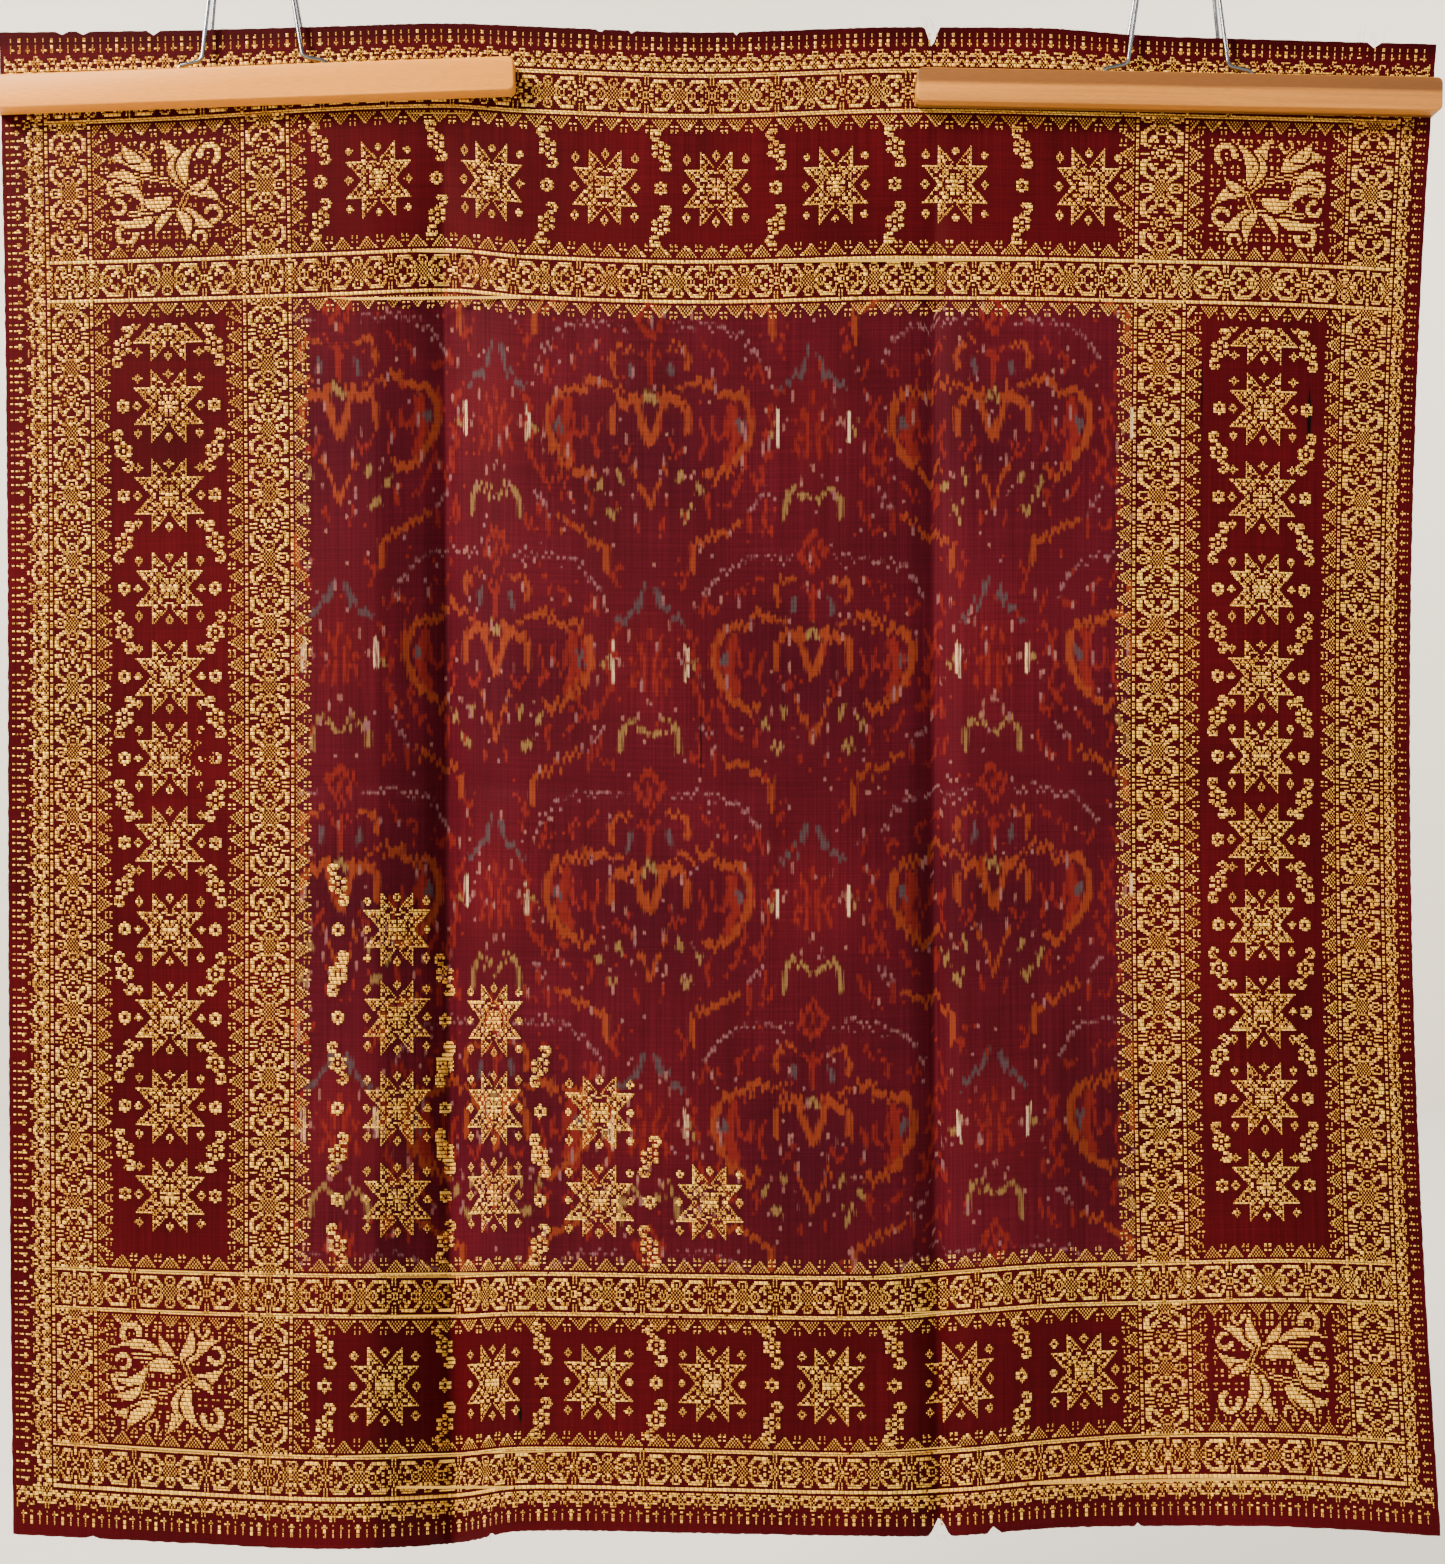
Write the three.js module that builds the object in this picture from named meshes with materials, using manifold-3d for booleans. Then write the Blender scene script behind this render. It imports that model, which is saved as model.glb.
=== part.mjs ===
// Songket head cloth hung by its top border from two wooden clamp hangers.
// Millimetres, +X to the right as seen, +Y away from the viewer, +Z up.
// The origin is midway between the two hooks, at the height where they are held.
import * as THREE from 'three';
import { mergeVertices } from 'three/addons/utils/BufferGeometryUtils.js';
import Module from 'manifold-3d';

const wasm = await Module();
wasm.setup();

// Cloth, laid flat: across runs from left to right, down from the top edge
const CLOTH_LEFT = -430;
const CLOTH_RIGHT = 433;
const CLOTH_DROP = 901;
const CLOTH_TOP = -150;
const CLOTH_THICKNESS = 1.2;
const COLUMN_PITCH = 22;
const CLOSEST_COLUMNS = 3.5;
const ROW_DOWNS = [0, 16, 34, 52, 66, 86, 112, 145, 185, 235, 290, 345, 400, 440, 455, 470, 510, 560,
  610, 660, 705, 747, 785, 820, 853, 880, 901];

// The sections were sized from a view at this place, so a point further back is spread by its depth
const EYE = { across: 4.3, height: -600, distance: 1050 };

// Rows of the cloth that the section table gives, as distances down the flat cloth
const ROW_AT = { edge: 0, grip: 49, head: 162, foot: 747, band: 853, hem: CLOTH_DROP };
const MIDDLE_DOWN = 418;

// One row for each upright section: how far each row of it is lifted, and how far its middle and hem
// drift sideways, as the weight pulls the cloth from the two tilted clamps
const SECTIONS = [
  { across: -430, edge: 0.0, grip: -5.4, head: -0.6, foot: 6.0, band: 7.2, hem: -0.6, middle: 5.4, low: 8.4 },
  { across: -321, edge: 1.2, grip: -1.2, head: 1.8, foot: 1.8, band: 0.0, hem: -6.0, middle: 3.6, low: 3.6 },
  { across: -231, edge: 3.6, grip: 4.2, head: 4.8, foot: 0.0, band: -3.6, hem: -9.6, middle: 4.8, low: 3.0 },
  { across: -162, edge: 5.4, grip: 6.0, head: 7.0, foot: 0.0, band: -1.8, hem: -6.0, middle: 4.2, low: 6.0 },
  { across: -111, edge: 3.6, grip: 3.0, head: 3.0, foot: 1.2, band: 1.8, hem: 1.2, middle: -3.6, low: -5.0 },
  { across: -9, edge: 0.0, grip: 0.0, head: 0.0, foot: -0.3, band: 0.3, hem: 0.0, middle: -1.2, low: -2.0 },
  { across: 99, edge: 3.0, grip: 3.0, head: 2.4, foot: -1.2, band: -1.8, hem: -1.8, middle: -1.8, low: -0.6 },
  { across: 147, edge: 3.0, grip: 3.0, head: 2.4, foot: 2.4, band: 1.2, hem: -1.2, middle: 0.0, low: 3.6 },
  { across: 201, edge: 2.4, grip: 1.8, head: 1.8, foot: 6.0, band: 6.0, hem: 3.0, middle: -1.8, low: 1.2 },
  { across: 256, edge: -1.8, grip: 0.6, head: 0.6, foot: 7.2, band: 9.6, hem: 4.2, middle: -3.6, low: 3.6 },
  { across: 345, edge: -4.8, grip: -1.8, head: -1.5, foot: 9.0, band: 9.6, hem: 3.6, middle: -7.0, low: 2.4 },
  { across: 433, edge: -7.2, grip: -4.2, head: -5.4, foot: 6.6, band: 4.8, hem: -1.8, middle: -16.0, low: 2.4 },
];

// One row for each upright fold: depth away from the viewer at four rows, reach to each side, and the
// power of each side's slope. A sharp fold has a crease along its bottom, a soft one a round trough.
const FOLD_START = 52;
const FOLD_ROWS = { start: FOLD_START, head: 162, belly: 455, foot: 747, hem: CLOTH_DROP };
const FOLDS = [
  { across: -165, head: 12, belly: 24, foot: 28, hem: 30, left: 44, right: 52, leftBow: 1.25, rightBow: 1.9, sharp: true },
  { across: 132, head: 6, belly: 14, foot: 17, hem: 16, left: 50, right: 20, leftBow: 1.3, rightBow: 1.6, sharp: true },
  { across: 150, head: 1, belly: 4, foot: 6, hem: 6, left: 36, right: 90, leftBow: 1, rightBow: 1, sharp: false },
  { across: 256, head: 1, belly: 7, foot: 19, hem: 22, left: 100, right: 95, leftBow: 1, rightBow: 1, sharp: false },
  { across: -236, head: 0, belly: -4, foot: -8, hem: -13, left: 120, right: 70, leftBow: 1, rightBow: 1, sharp: false },
  { across: -20, head: -3, belly: -5, foot: -3, hem: -1, left: 110, right: 110, leftBow: 1, rightBow: 1, sharp: false },
  { across: 433, head: 2, belly: 7, foot: 4, hem: 0, left: 110, right: 1, leftBow: 1, rightBow: 1, sharp: false },
];
const CROSS_FOLD = { down: 455, depth: 1.2, reach: 15, left: -245, right: 245 };

// Tears and nicks in the two cut edges
const TEARS = [
  { edge: 'top', across: 130, wide: 9, deep: 13 },
  { edge: 'hem', across: 132, wide: 11, deep: 12 },
  { edge: 'hem', across: 164, wide: 9, deep: 4 },
];

// Clamp hangers: two slats, a wire bail on each, and a hook through the tops of both bails
const SLAT = { length: 312, height: 20, depth: 12, corner: 3.5, bevel: 0.8 };
const PIECE_GAP = 0.3;
const SLAT_INNER = CLOTH_THICKNESS / 2 + PIECE_GAP;
const SLAT_MIDDLE = SLAT_INNER + SLAT.depth / 2;
const WIRE_RADIUS = 1.25;
const SOCKET = { depth: 10, radius: WIRE_RADIUS + PIECE_GAP + 0.1, sides: 12 };
const BAIL = { foot: 44, stub: 3.2, jog: 14, jogRise: 3, rise: 118, crown: 15, crownBend: 15, bend: 3.5 };
const BAIL_APART = WIRE_RADIUS + 0.2;
const HOOK = { wire: 1.6, seat: 19, eye: 5.5, eyeGap: 52, join: -40, end: 195, heightOverSlat: 185 };
const WIRE_SIDES = 8;
const BAIL_STEPS = 44;
const HOOK_STEPS = 58;
const HANGERS = [
  { name: 'hanger_left', across: -275.5, drop: 185, tilt: 2.05 },
  { name: 'hanger_right', across: 275.5, drop: 189, tilt: -1.1 },
];

const CLOTH_LOOK = new THREE.MeshStandardMaterial({ color: 0x72161f, roughness: 0.75, metalness: 0 });
const WOOD_LOOK = new THREE.MeshStandardMaterial({ color: 0xe8b483, roughness: 0.5, metalness: 0 });
const WIRE_LOOK = new THREE.MeshStandardMaterial({ color: 0xb9bcc0, roughness: 0.2, metalness: 1 });

// A smooth curve through the points (places[i], values[i]), level with its neighbours at each point
function through(places, values, at) {
  const last = places.length - 1;
  let i = 0;
  while (i < last - 1 && at > places[i + 1]) {
    i += 1;
  }
  const slope = (k) => {
    const before = Math.max(k - 1, 0);
    const after = Math.min(k + 1, last);
    return (values[after] - values[before]) / (places[after] - places[before]);
  };
  const span = places[i + 1] - places[i];
  const t = THREE.MathUtils.clamp((at - places[i]) / span, 0, 1);
  const rise = values[i + 1] - values[i];
  const start = slope(i) * span;
  const end = slope(i + 1) * span;
  return values[i] + t * (start + t * (3 * rise - 2 * start - end + t * (start + end - 2 * rise)));
}

const SECTION_PLACES = SECTIONS.map((section) => section.across);
const sectionValue = (column, across) =>
  through(SECTION_PLACES, SECTIONS.map((section) => section[column]), across);

// Lift of a point of the cloth from its flat height
function lift(across, down) {
  const rows = Object.keys(ROW_AT);
  return through(Object.values(ROW_AT), rows.map((row) => sectionValue(row, across)), down);
}

// Sideways drift, none at the top edge
function drift(across, down) {
  const middle = sectionValue('middle', across);
  const low = sectionValue('low', across);
  if (down < MIDDLE_DOWN) {
    return middle * (1 - (1 - down / MIDDLE_DOWN) ** 2);
  }
  return middle + (low - middle) * ((down - MIDDLE_DOWN) / (CLOTH_DROP - MIDDLE_DOWN)) ** 2;
}

function foldDepth(fold, across, down) {
  const side = across < fold.across ? 'left' : 'right';
  const away = Math.abs(across - fold.across) / fold[side];
  if (away >= 1 || down <= FOLD_START) {
    return 0;
  }
  const depths = [0, fold.head, fold.belly, fold.foot, fold.hem];
  const depth = through(Object.values(FOLD_ROWS), depths, down);
  const slope = fold.sharp ? (1 - away) ** fold[`${side}Bow`] : Math.cos((away * Math.PI) / 2) ** 2;
  return depth * slope;
}

// Depth of the hanging cloth behind the plane of the clamps
function depth(across, down) {
  let total = 0;
  for (const fold of FOLDS) {
    total += foldDepth(fold, across, down);
  }
  const inField = across > CROSS_FOLD.left && across < CROSS_FOLD.right;
  const away = Math.abs(down - CROSS_FOLD.down) / CROSS_FOLD.reach;
  if (inField && away < 1) {
    total += CROSS_FOLD.depth * (1 - away) ** 2;
  }
  return total;
}

// The place in space of a point of the flat cloth, on the middle of its thickness
function hang(across, down) {
  const back = depth(across, down);
  const spread = 1 + back / EYE.distance;
  const seenAcross = across + drift(across, down);
  const seenHeight = CLOTH_TOP - down + lift(across, down);
  return new THREE.Vector3(
    EYE.across + (seenAcross - EYE.across) * spread,
    back,
    EYE.height + (seenHeight - EYE.height) * spread,
  );
}

// Unit normal of the hanging cloth, towards the viewer
function facing(across, down) {
  const step = 1;
  const sideways = hang(across + step, down).sub(hang(across - step, down));
  const upward = hang(across, down - step).sub(hang(across, down + step));
  return sideways.cross(upward).normalize();
}

// How far the tears of one edge reach into the cloth at a place
function tornAway(edge, across) {
  let reach = 0;
  for (const tear of TEARS) {
    if (tear.edge === edge) {
      reach = Math.max(reach, tear.deep * (1 - Math.abs(across - tear.across) / (tear.wide / 2)));
    }
  }
  return reach;
}

// Places of the mesh columns: an even pitch, closer over the creases, and on each tear's corners
function clothColumns() {
  const wanted = [CLOTH_LEFT, CLOTH_RIGHT];
  for (const tear of TEARS) {
    wanted.push(tear.across - tear.wide / 2, tear.across, tear.across + tear.wide / 2);
  }
  for (const fold of FOLDS.filter((each) => each.sharp)) {
    for (const share of [0, 0.3, 0.65, 1]) {
      wanted.push(fold.across - share * fold.left, fold.across + share * fold.right);
    }
  }
  for (let across = CLOTH_LEFT + COLUMN_PITCH; across < CLOTH_RIGHT; across += COLUMN_PITCH) {
    wanted.push(across);
  }
  const kept = [];
  for (const across of wanted) {
    if (kept.every((other) => Math.abs(other - across) >= CLOSEST_COLUMNS)) {
      kept.push(across);
    }
  }
  return kept.sort((a, b) => a - b);
}

// A closed sheet: a front and a back grid joined round the rim
function clothGeometry() {
  const columns = clothColumns();
  const wide = columns.length;
  const tall = ROW_DOWNS.length;
  const points = [];
  for (const side of [1, -1]) {
    for (const rowDown of ROW_DOWNS) {
      for (const across of columns) {
        const top = tornAway('top', across);
        const bottom = CLOTH_DROP - tornAway('hem', across);
        const down = top + (rowDown / CLOTH_DROP) * (bottom - top);
        const point = hang(across, down).addScaledVector(facing(across, down), (side * CLOTH_THICKNESS) / 2);
        points.push(point.x, point.y, point.z);
      }
    }
  }
  const front = (row, column) => row * wide + column;
  const back = (row, column) => (tall + row) * wide + column;
  const faces = [];
  const quad = (a, b, c, d) => faces.push(a, b, c, a, c, d);
  for (let row = 0; row < tall - 1; row += 1) {
    for (let column = 0; column < wide - 1; column += 1) {
      quad(front(row, column), front(row + 1, column), front(row + 1, column + 1), front(row, column + 1));
      quad(back(row, column), back(row, column + 1), back(row + 1, column + 1), back(row + 1, column));
    }
    quad(front(row, 0), back(row, 0), back(row + 1, 0), front(row + 1, 0));
    quad(front(row + 1, wide - 1), back(row + 1, wide - 1), back(row, wide - 1), front(row, wide - 1));
  }
  for (let column = 0; column < wide - 1; column += 1) {
    quad(front(0, column + 1), back(0, column + 1), back(0, column), front(0, column));
    const low = tall - 1;
    quad(front(low, column), back(low, column), back(low, column + 1), front(low, column + 1));
  }
  const geometry = new THREE.BufferGeometry();
  geometry.setAttribute('position', new THREE.Float32BufferAttribute(points, 3));
  geometry.setIndex(faces);
  return geometry;
}

// Joining and cutting of closed meshes
function solidOf(geometry) {
  const bare = geometry.clone();
  bare.deleteAttribute('normal');
  bare.deleteAttribute('uv');
  const merged = mergeVertices(bare, 1e-4);
  return new wasm.Manifold(new wasm.Mesh({
    numProp: 3,
    vertProperties: new Float32Array(merged.attributes.position.array),
    triVerts: new Uint32Array(merged.index.array),
  }));
}

function geometryOf(solid) {
  const mesh = solid.getMesh();
  const geometry = new THREE.BufferGeometry();
  geometry.setAttribute('position', new THREE.Float32BufferAttribute(mesh.vertProperties, 3));
  geometry.setIndex(Array.from(mesh.triVerts));
  return geometry;
}

// A slat with eased edges, its inner face towards the cloth, and a socket for each foot of its bail
function slatGeometry(side) {
  const halfLength = SLAT.length / 2 - SLAT.bevel;
  const halfHeight = SLAT.height / 2 - SLAT.bevel;
  const r = SLAT.corner;
  const outline = new THREE.Shape();
  outline.moveTo(-halfLength + r, -halfHeight);
  outline.lineTo(halfLength - r, -halfHeight);
  outline.absarc(halfLength - r, -halfHeight + r, r, -Math.PI / 2, 0);
  outline.lineTo(halfLength, halfHeight - r);
  outline.absarc(halfLength - r, halfHeight - r, r, 0, Math.PI / 2);
  outline.lineTo(-halfLength + r, halfHeight);
  outline.absarc(-halfLength + r, halfHeight - r, r, Math.PI / 2, Math.PI);
  outline.lineTo(-halfLength, -halfHeight + r);
  outline.absarc(-halfLength + r, -halfHeight + r, r, Math.PI, Math.PI * 1.5);
  const slat = new THREE.ExtrudeGeometry(outline, {
    depth: SLAT.depth - 2 * SLAT.bevel,
    bevelSize: SLAT.bevel,
    bevelThickness: SLAT.bevel,
    bevelSegments: 1,
    curveSegments: 3,
  });
  slat.translate(0, 0, SLAT.bevel - SLAT.depth / 2);
  slat.rotateX(Math.PI / 2);
  slat.translate(0, side * SLAT_MIDDLE, 0);
  let solid = solidOf(slat);
  for (const end of [-1, 1]) {
    const socket = new THREE.CylinderGeometry(SOCKET.radius, SOCKET.radius, SOCKET.depth * 2, SOCKET.sides);
    socket.rotateX(Math.PI / 2);
    socket.translate(end * BAIL.foot, side * SLAT_MIDDLE, SLAT.height / 2);
    solid = solid.subtract(solidOf(socket));
  }
  return geometryOf(solid);
}

// A round wire along a path
function wireGeometry(path, radius, steps) {
  const section = new THREE.Shape();
  for (let i = 0; i < WIRE_SIDES; i += 1) {
    const turn = (i / WIRE_SIDES) * Math.PI * 2;
    const corner = [radius * Math.cos(turn), radius * Math.sin(turn)];
    if (i === 0) {
      section.moveTo(...corner);
    } else {
      section.lineTo(...corner);
    }
  }
  section.closePath();
  return new THREE.ExtrudeGeometry(section, { steps, extrudePath: path, curveSegments: 1 });
}

// A path of straight runs with a bend at each inner corner
function bentPath(corners) {
  const path = new THREE.CurvePath();
  let from = corners[0].point;
  for (let i = 1; i < corners.length - 1; i += 1) {
    const { point, bend } = corners[i];
    const next = corners[i + 1].point;
    const into = point.clone().addScaledVector(point.clone().sub(from).normalize(), -bend);
    const out = point.clone().addScaledVector(next.clone().sub(point).normalize(), bend);
    path.add(new THREE.LineCurve3(from, into));
    path.add(new THREE.QuadraticBezierCurve3(into, point, out));
    from = out;
  }
  path.add(new THREE.LineCurve3(from, corners[corners.length - 1].point));
  return path;
}

// A bail: two feet in the slat's top, a jog inward over it, and legs leaning together to a round crown
function bailGeometry(side) {
  const top = SLAT.height / 2;
  const crownHeight = top + BAIL.rise;
  const legFoot = top + BAIL.stub + BAIL.jogRise;
  const leg = [
    { x: BAIL.foot, z: top - SOCKET.depth + PIECE_GAP, bend: 0 },
    { x: BAIL.foot, z: top + BAIL.stub, bend: BAIL.bend * 0.7 },
    { x: BAIL.foot - BAIL.jog, z: legFoot, bend: BAIL.bend },
    { x: BAIL.crown, z: crownHeight, bend: BAIL.crownBend - 0.5 },
  ];
  const place = (corner, end) => {
    const climb = Math.max(corner.z - legFoot, 0) / (crownHeight - legFoot);
    const out = side * THREE.MathUtils.lerp(SLAT_MIDDLE, BAIL_APART, climb);
    return { point: new THREE.Vector3(end * corner.x, out, corner.z), bend: corner.bend };
  };
  const up = leg.map((corner) => place(corner, -1));
  const down = leg.map((corner) => place(corner, 1)).reverse();
  return wireGeometry(bentPath([...up, ...down]), WIRE_RADIUS, BAIL_STEPS);
}

// A hook: an eye round the crowns of both bails, a short stem, and a round bend that sits on its holder
function hookGeometry() {
  const crownHeight = SLAT.height / 2 + BAIL.rise;
  const eyeMiddle = crownHeight + 1.1;
  const seatMiddle = HOOK.heightOverSlat - HOOK.seat;
  const bendRadius = HOOK.seat + HOOK.wire;
  const points = [];
  const eyeStep = 22;
  for (let degrees = 90 - HOOK.eyeGap; degrees >= -270 + HOOK.eyeGap / 2; degrees -= eyeStep) {
    const turn = THREE.MathUtils.degToRad(degrees);
    points.push(new THREE.Vector3(0, HOOK.eye * Math.cos(turn), eyeMiddle + HOOK.eye * Math.sin(turn)));
  }
  const stemFoot = eyeMiddle + HOOK.eye + 2.5;
  points.push(new THREE.Vector3(0, 0, stemFoot));
  points.push(new THREE.Vector3(1, 0, stemFoot + 5));
  const bendStep = 23.5;
  for (let degrees = HOOK.join; degrees <= HOOK.end; degrees += bendStep) {
    const turn = THREE.MathUtils.degToRad(degrees);
    points.push(new THREE.Vector3(bendRadius * Math.cos(turn), 0, seatMiddle + bendRadius * Math.sin(turn)));
  }
  return wireGeometry(new THREE.CatmullRomCurve3(points, false, 'centripetal'), HOOK.wire, HOOK_STEPS);
}

function piece(name, geometry, look) {
  const mesh = new THREE.Mesh(geometry, look);
  mesh.name = name;
  return mesh;
}

// One hanger in its own frame, centred on its slats and turned by its tilt about that centre
function hangerGroup(hanger) {
  const group = new THREE.Group();
  for (const [label, side] of [['front', -1], ['back', 1]]) {
    group.add(piece(`${hanger.name}_${label}_slat`, slatGeometry(side), WOOD_LOOK));
    group.add(piece(`${hanger.name}_${label}_bail`, bailGeometry(side), WIRE_LOOK));
  }
  group.add(piece(`${hanger.name}_hook`, hookGeometry(), WIRE_LOOK));
  group.position.set(hanger.across, 0, -hanger.drop);
  group.rotation.y = -THREE.MathUtils.degToRad(hanger.tilt);
  return group;
}

const songket = new THREE.Group();
songket.add(piece('songket_cloth', clothGeometry(), CLOTH_LOOK));
for (const hanger of HANGERS) {
  songket.add(hangerGroup(hanger));
}

export default songket;
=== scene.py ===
# Songket head cloth hung by its top border from two wooden clamp hangers.
# Tables are millimetres on the flat cloth: across from left to right, down from the top edge.
# Meshes are metres: +X to the right as seen, +Y away from the viewer, +Z up.
import math

import bmesh
import bpy
import numpy as np
from mathutils import Matrix, Vector


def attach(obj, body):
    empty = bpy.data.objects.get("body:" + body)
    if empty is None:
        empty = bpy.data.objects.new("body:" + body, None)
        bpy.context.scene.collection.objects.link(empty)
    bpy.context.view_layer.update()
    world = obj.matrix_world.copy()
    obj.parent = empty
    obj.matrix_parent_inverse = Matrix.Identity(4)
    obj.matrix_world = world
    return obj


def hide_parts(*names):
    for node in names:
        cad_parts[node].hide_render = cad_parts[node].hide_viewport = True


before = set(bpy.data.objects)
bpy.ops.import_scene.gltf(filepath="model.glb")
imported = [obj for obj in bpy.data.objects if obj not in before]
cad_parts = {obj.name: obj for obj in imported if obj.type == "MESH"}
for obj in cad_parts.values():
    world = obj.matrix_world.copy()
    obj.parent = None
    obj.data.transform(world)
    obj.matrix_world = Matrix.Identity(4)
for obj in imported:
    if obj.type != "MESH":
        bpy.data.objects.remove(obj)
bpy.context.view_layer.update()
MM = 0.001
chance = np.random.RandomState(11)

# The hanging cloth: the sections and folds of its solid, the two sharp folds drawn in tighter at the bottom

CLOTH_LEFT, CLOTH_RIGHT = -430.0, 433.0
CLOTH_DROP = 901.0
CLOTH_TOP = -150.0
EYE_ACROSS, EYE_HEIGHT, EYE_DISTANCE = 4.3, -600.0, 1050.0
ROW_AT = (0, 49, 162, 747, 853, CLOTH_DROP)
MIDDLE_DOWN = 418.0

# across, lift of the six rows of ROW_AT, then sideways drift at the middle and at the hem
SECTIONS = np.array([
    (-430, 0.0, -5.4, -0.6, 6.0, 7.2, -0.6, 5.4, 8.4),
    (-321, 1.2, -1.2, 1.8, 1.8, 0.0, -6.0, 3.6, 3.6),
    (-231, 3.6, 4.2, 4.8, 0.0, -3.6, -9.6, 4.8, 3.0),
    (-162, 5.4, 6.0, 7.0, 0.0, -1.8, -6.0, 4.2, 6.0),
    (-111, 3.6, 3.0, 3.0, 1.2, 1.8, 1.2, -3.6, -5.0),
    (-9, 0.0, 0.0, 0.0, -0.3, 0.3, 0.0, -1.2, -2.0),
    (99, 3.0, 3.0, 2.4, -1.2, -1.8, -1.8, -1.8, -0.6),
    (147, 3.0, 3.0, 2.4, 2.4, 1.2, -1.2, 0.0, 3.6),
    (201, 2.4, 1.8, 1.8, 6.0, 6.0, 3.0, -1.8, 1.2),
    (256, -1.8, 0.6, 0.6, 7.2, 9.6, 4.2, -3.6, 3.6),
    (345, -4.8, -1.8, -1.5, 9.0, 9.6, 3.6, -7.0, 2.4),
    (433, -7.2, -4.2, -5.4, 6.6, 4.8, -1.8, -16.0, 2.4),
])
MIDDLE_COLUMN, LOW_COLUMN = 7, 8

# across, depth at head, belly, foot and hem, reach left and right, power of each slope (0 is a soft trough)
FOLD_START = 52.0
FOLD_ROWS = (FOLD_START, 162, 455, 747, CLOTH_DROP)
FOLDS = (
    (-165, 10, 20, 23.5, 25.5, 44, 52, 1.25, 1.9),
    (-165, 2, 4, 4.5, 4.5, 15, 8, 1.1, 1.6),
    (132, 4, 10, 12, 11, 50, 20, 1.3, 1.6),
    (132, 2, 4, 5, 5, 14, 8, 1.1, 1.6),
    (150, 1, 4, 6, 6, 36, 90, 0, 0),
    (256, 1, 7, 19, 22, 100, 95, 0, 0),
    (-236, 0, -4, -8, -13, 120, 70, 0, 0),
    (-20, -3, -5, -3, -1, 110, 110, 0, 0),
    (433, 2, 7, 4, 0, 110, 1, 0, 0),
)

# Lesser creases that only the thin sheet shows: two ends, depth and reach
CREASES = (
    (-245, 455, 245, 455, 1.2, 15),
    (-420, 470, -250, 462, 0.5, 9),
    (250, 452, 425, 470, 0.6, 10),
    (-80, 180, -64, 700, 0.5, 10),
    (40, 190, 30, 640, -0.6, 16),
    (205, 560, 214, 880, -0.9, 14),
    (330, 120, 338, 700, 0.7, 16),
    (-330, 140, -322, 640, -0.7, 20),
    (-60, 790, 70, 760, 0.4, 10),
    (310, 820, 420, 790, 0.7, 14),
)


def through(places, values, at):
    """A smooth curve through (places, values), the values one column or one for each point asked."""
    places = np.asarray(places, float)
    values = np.asarray(values, float)
    if values.ndim == 1:
        values = np.repeat(values[:, None], at.size, axis=1)
    last = len(places) - 1
    before = np.maximum(np.arange(last + 1) - 1, 0)
    after = np.minimum(np.arange(last + 1) + 1, last)
    slopes = (values[after] - values[before]) / (places[after] - places[before])[:, None]
    i = np.clip(np.searchsorted(places, at) - 1, 0, last - 1)
    each = np.arange(at.size)
    span = places[i + 1] - places[i]
    t = np.clip((at - places[i]) / span, 0, 1)
    low = values[i, each]
    rise = values[i + 1, each] - low
    start = slopes[i, each] * span
    end = slopes[i + 1, each] * span
    return low + t * (start + t * (3 * rise - 2 * start - end + t * (start + end - 2 * rise)))


def section_value(column, across):
    return through(SECTIONS[:, 0], SECTIONS[:, column], across)


def fold_depth(fold, across, down):
    place, head, belly, foot, hem, left, right, left_power, right_power = fold
    on_left = across < place
    away = np.clip(np.abs(across - place) / np.where(on_left, left, right), 0, 1)
    depth = np.where(down > FOLD_START, through(FOLD_ROWS, (0, head, belly, foot, hem), down), 0)
    if left_power == 0:
        return depth * np.cos(away * math.pi / 2) ** 2
    return depth * (1 - away) ** np.where(on_left, left_power, right_power)


def crease_depth(crease, across, down):
    x0, y0, x1, y1, depth, reach = crease
    away = np.clip(to_segment(across, down, x0, y0, x1, y1) / reach, 0, 1)
    return depth * (1 - away) ** 2


def to_segment(x, y, x0, y0, x1, y1):
    """Distance of points from a straight stroke."""
    dx, dy = x1 - x0, y1 - y0
    t = np.clip(((x - x0) * dx + (y - y0) * dy) / (dx * dx + dy * dy), 0, 1)
    return np.hypot(x - x0 - t * dx, y - y0 - t * dy)


def to_arc(x, y, cx, cy, radius, start, end):
    """Distance of points from an arc, its angles in degrees from +x towards +y."""
    middle, half = math.radians((start + end) / 2), math.radians(abs(end - start) / 2)
    turn = np.arctan2(y - cy, x - cx) - middle
    turn = (turn + math.pi) % (2 * math.pi) - math.pi
    on = np.abs(np.hypot(x - cx, y - cy) - radius)
    ends = [
        np.hypot(x - cx - radius * math.cos(middle + s * half), y - cy - radius * math.sin(middle + s * half))
        for s in (-1, 1)
    ]
    return np.where(np.abs(turn) <= half, on, np.minimum(*ends))


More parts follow.
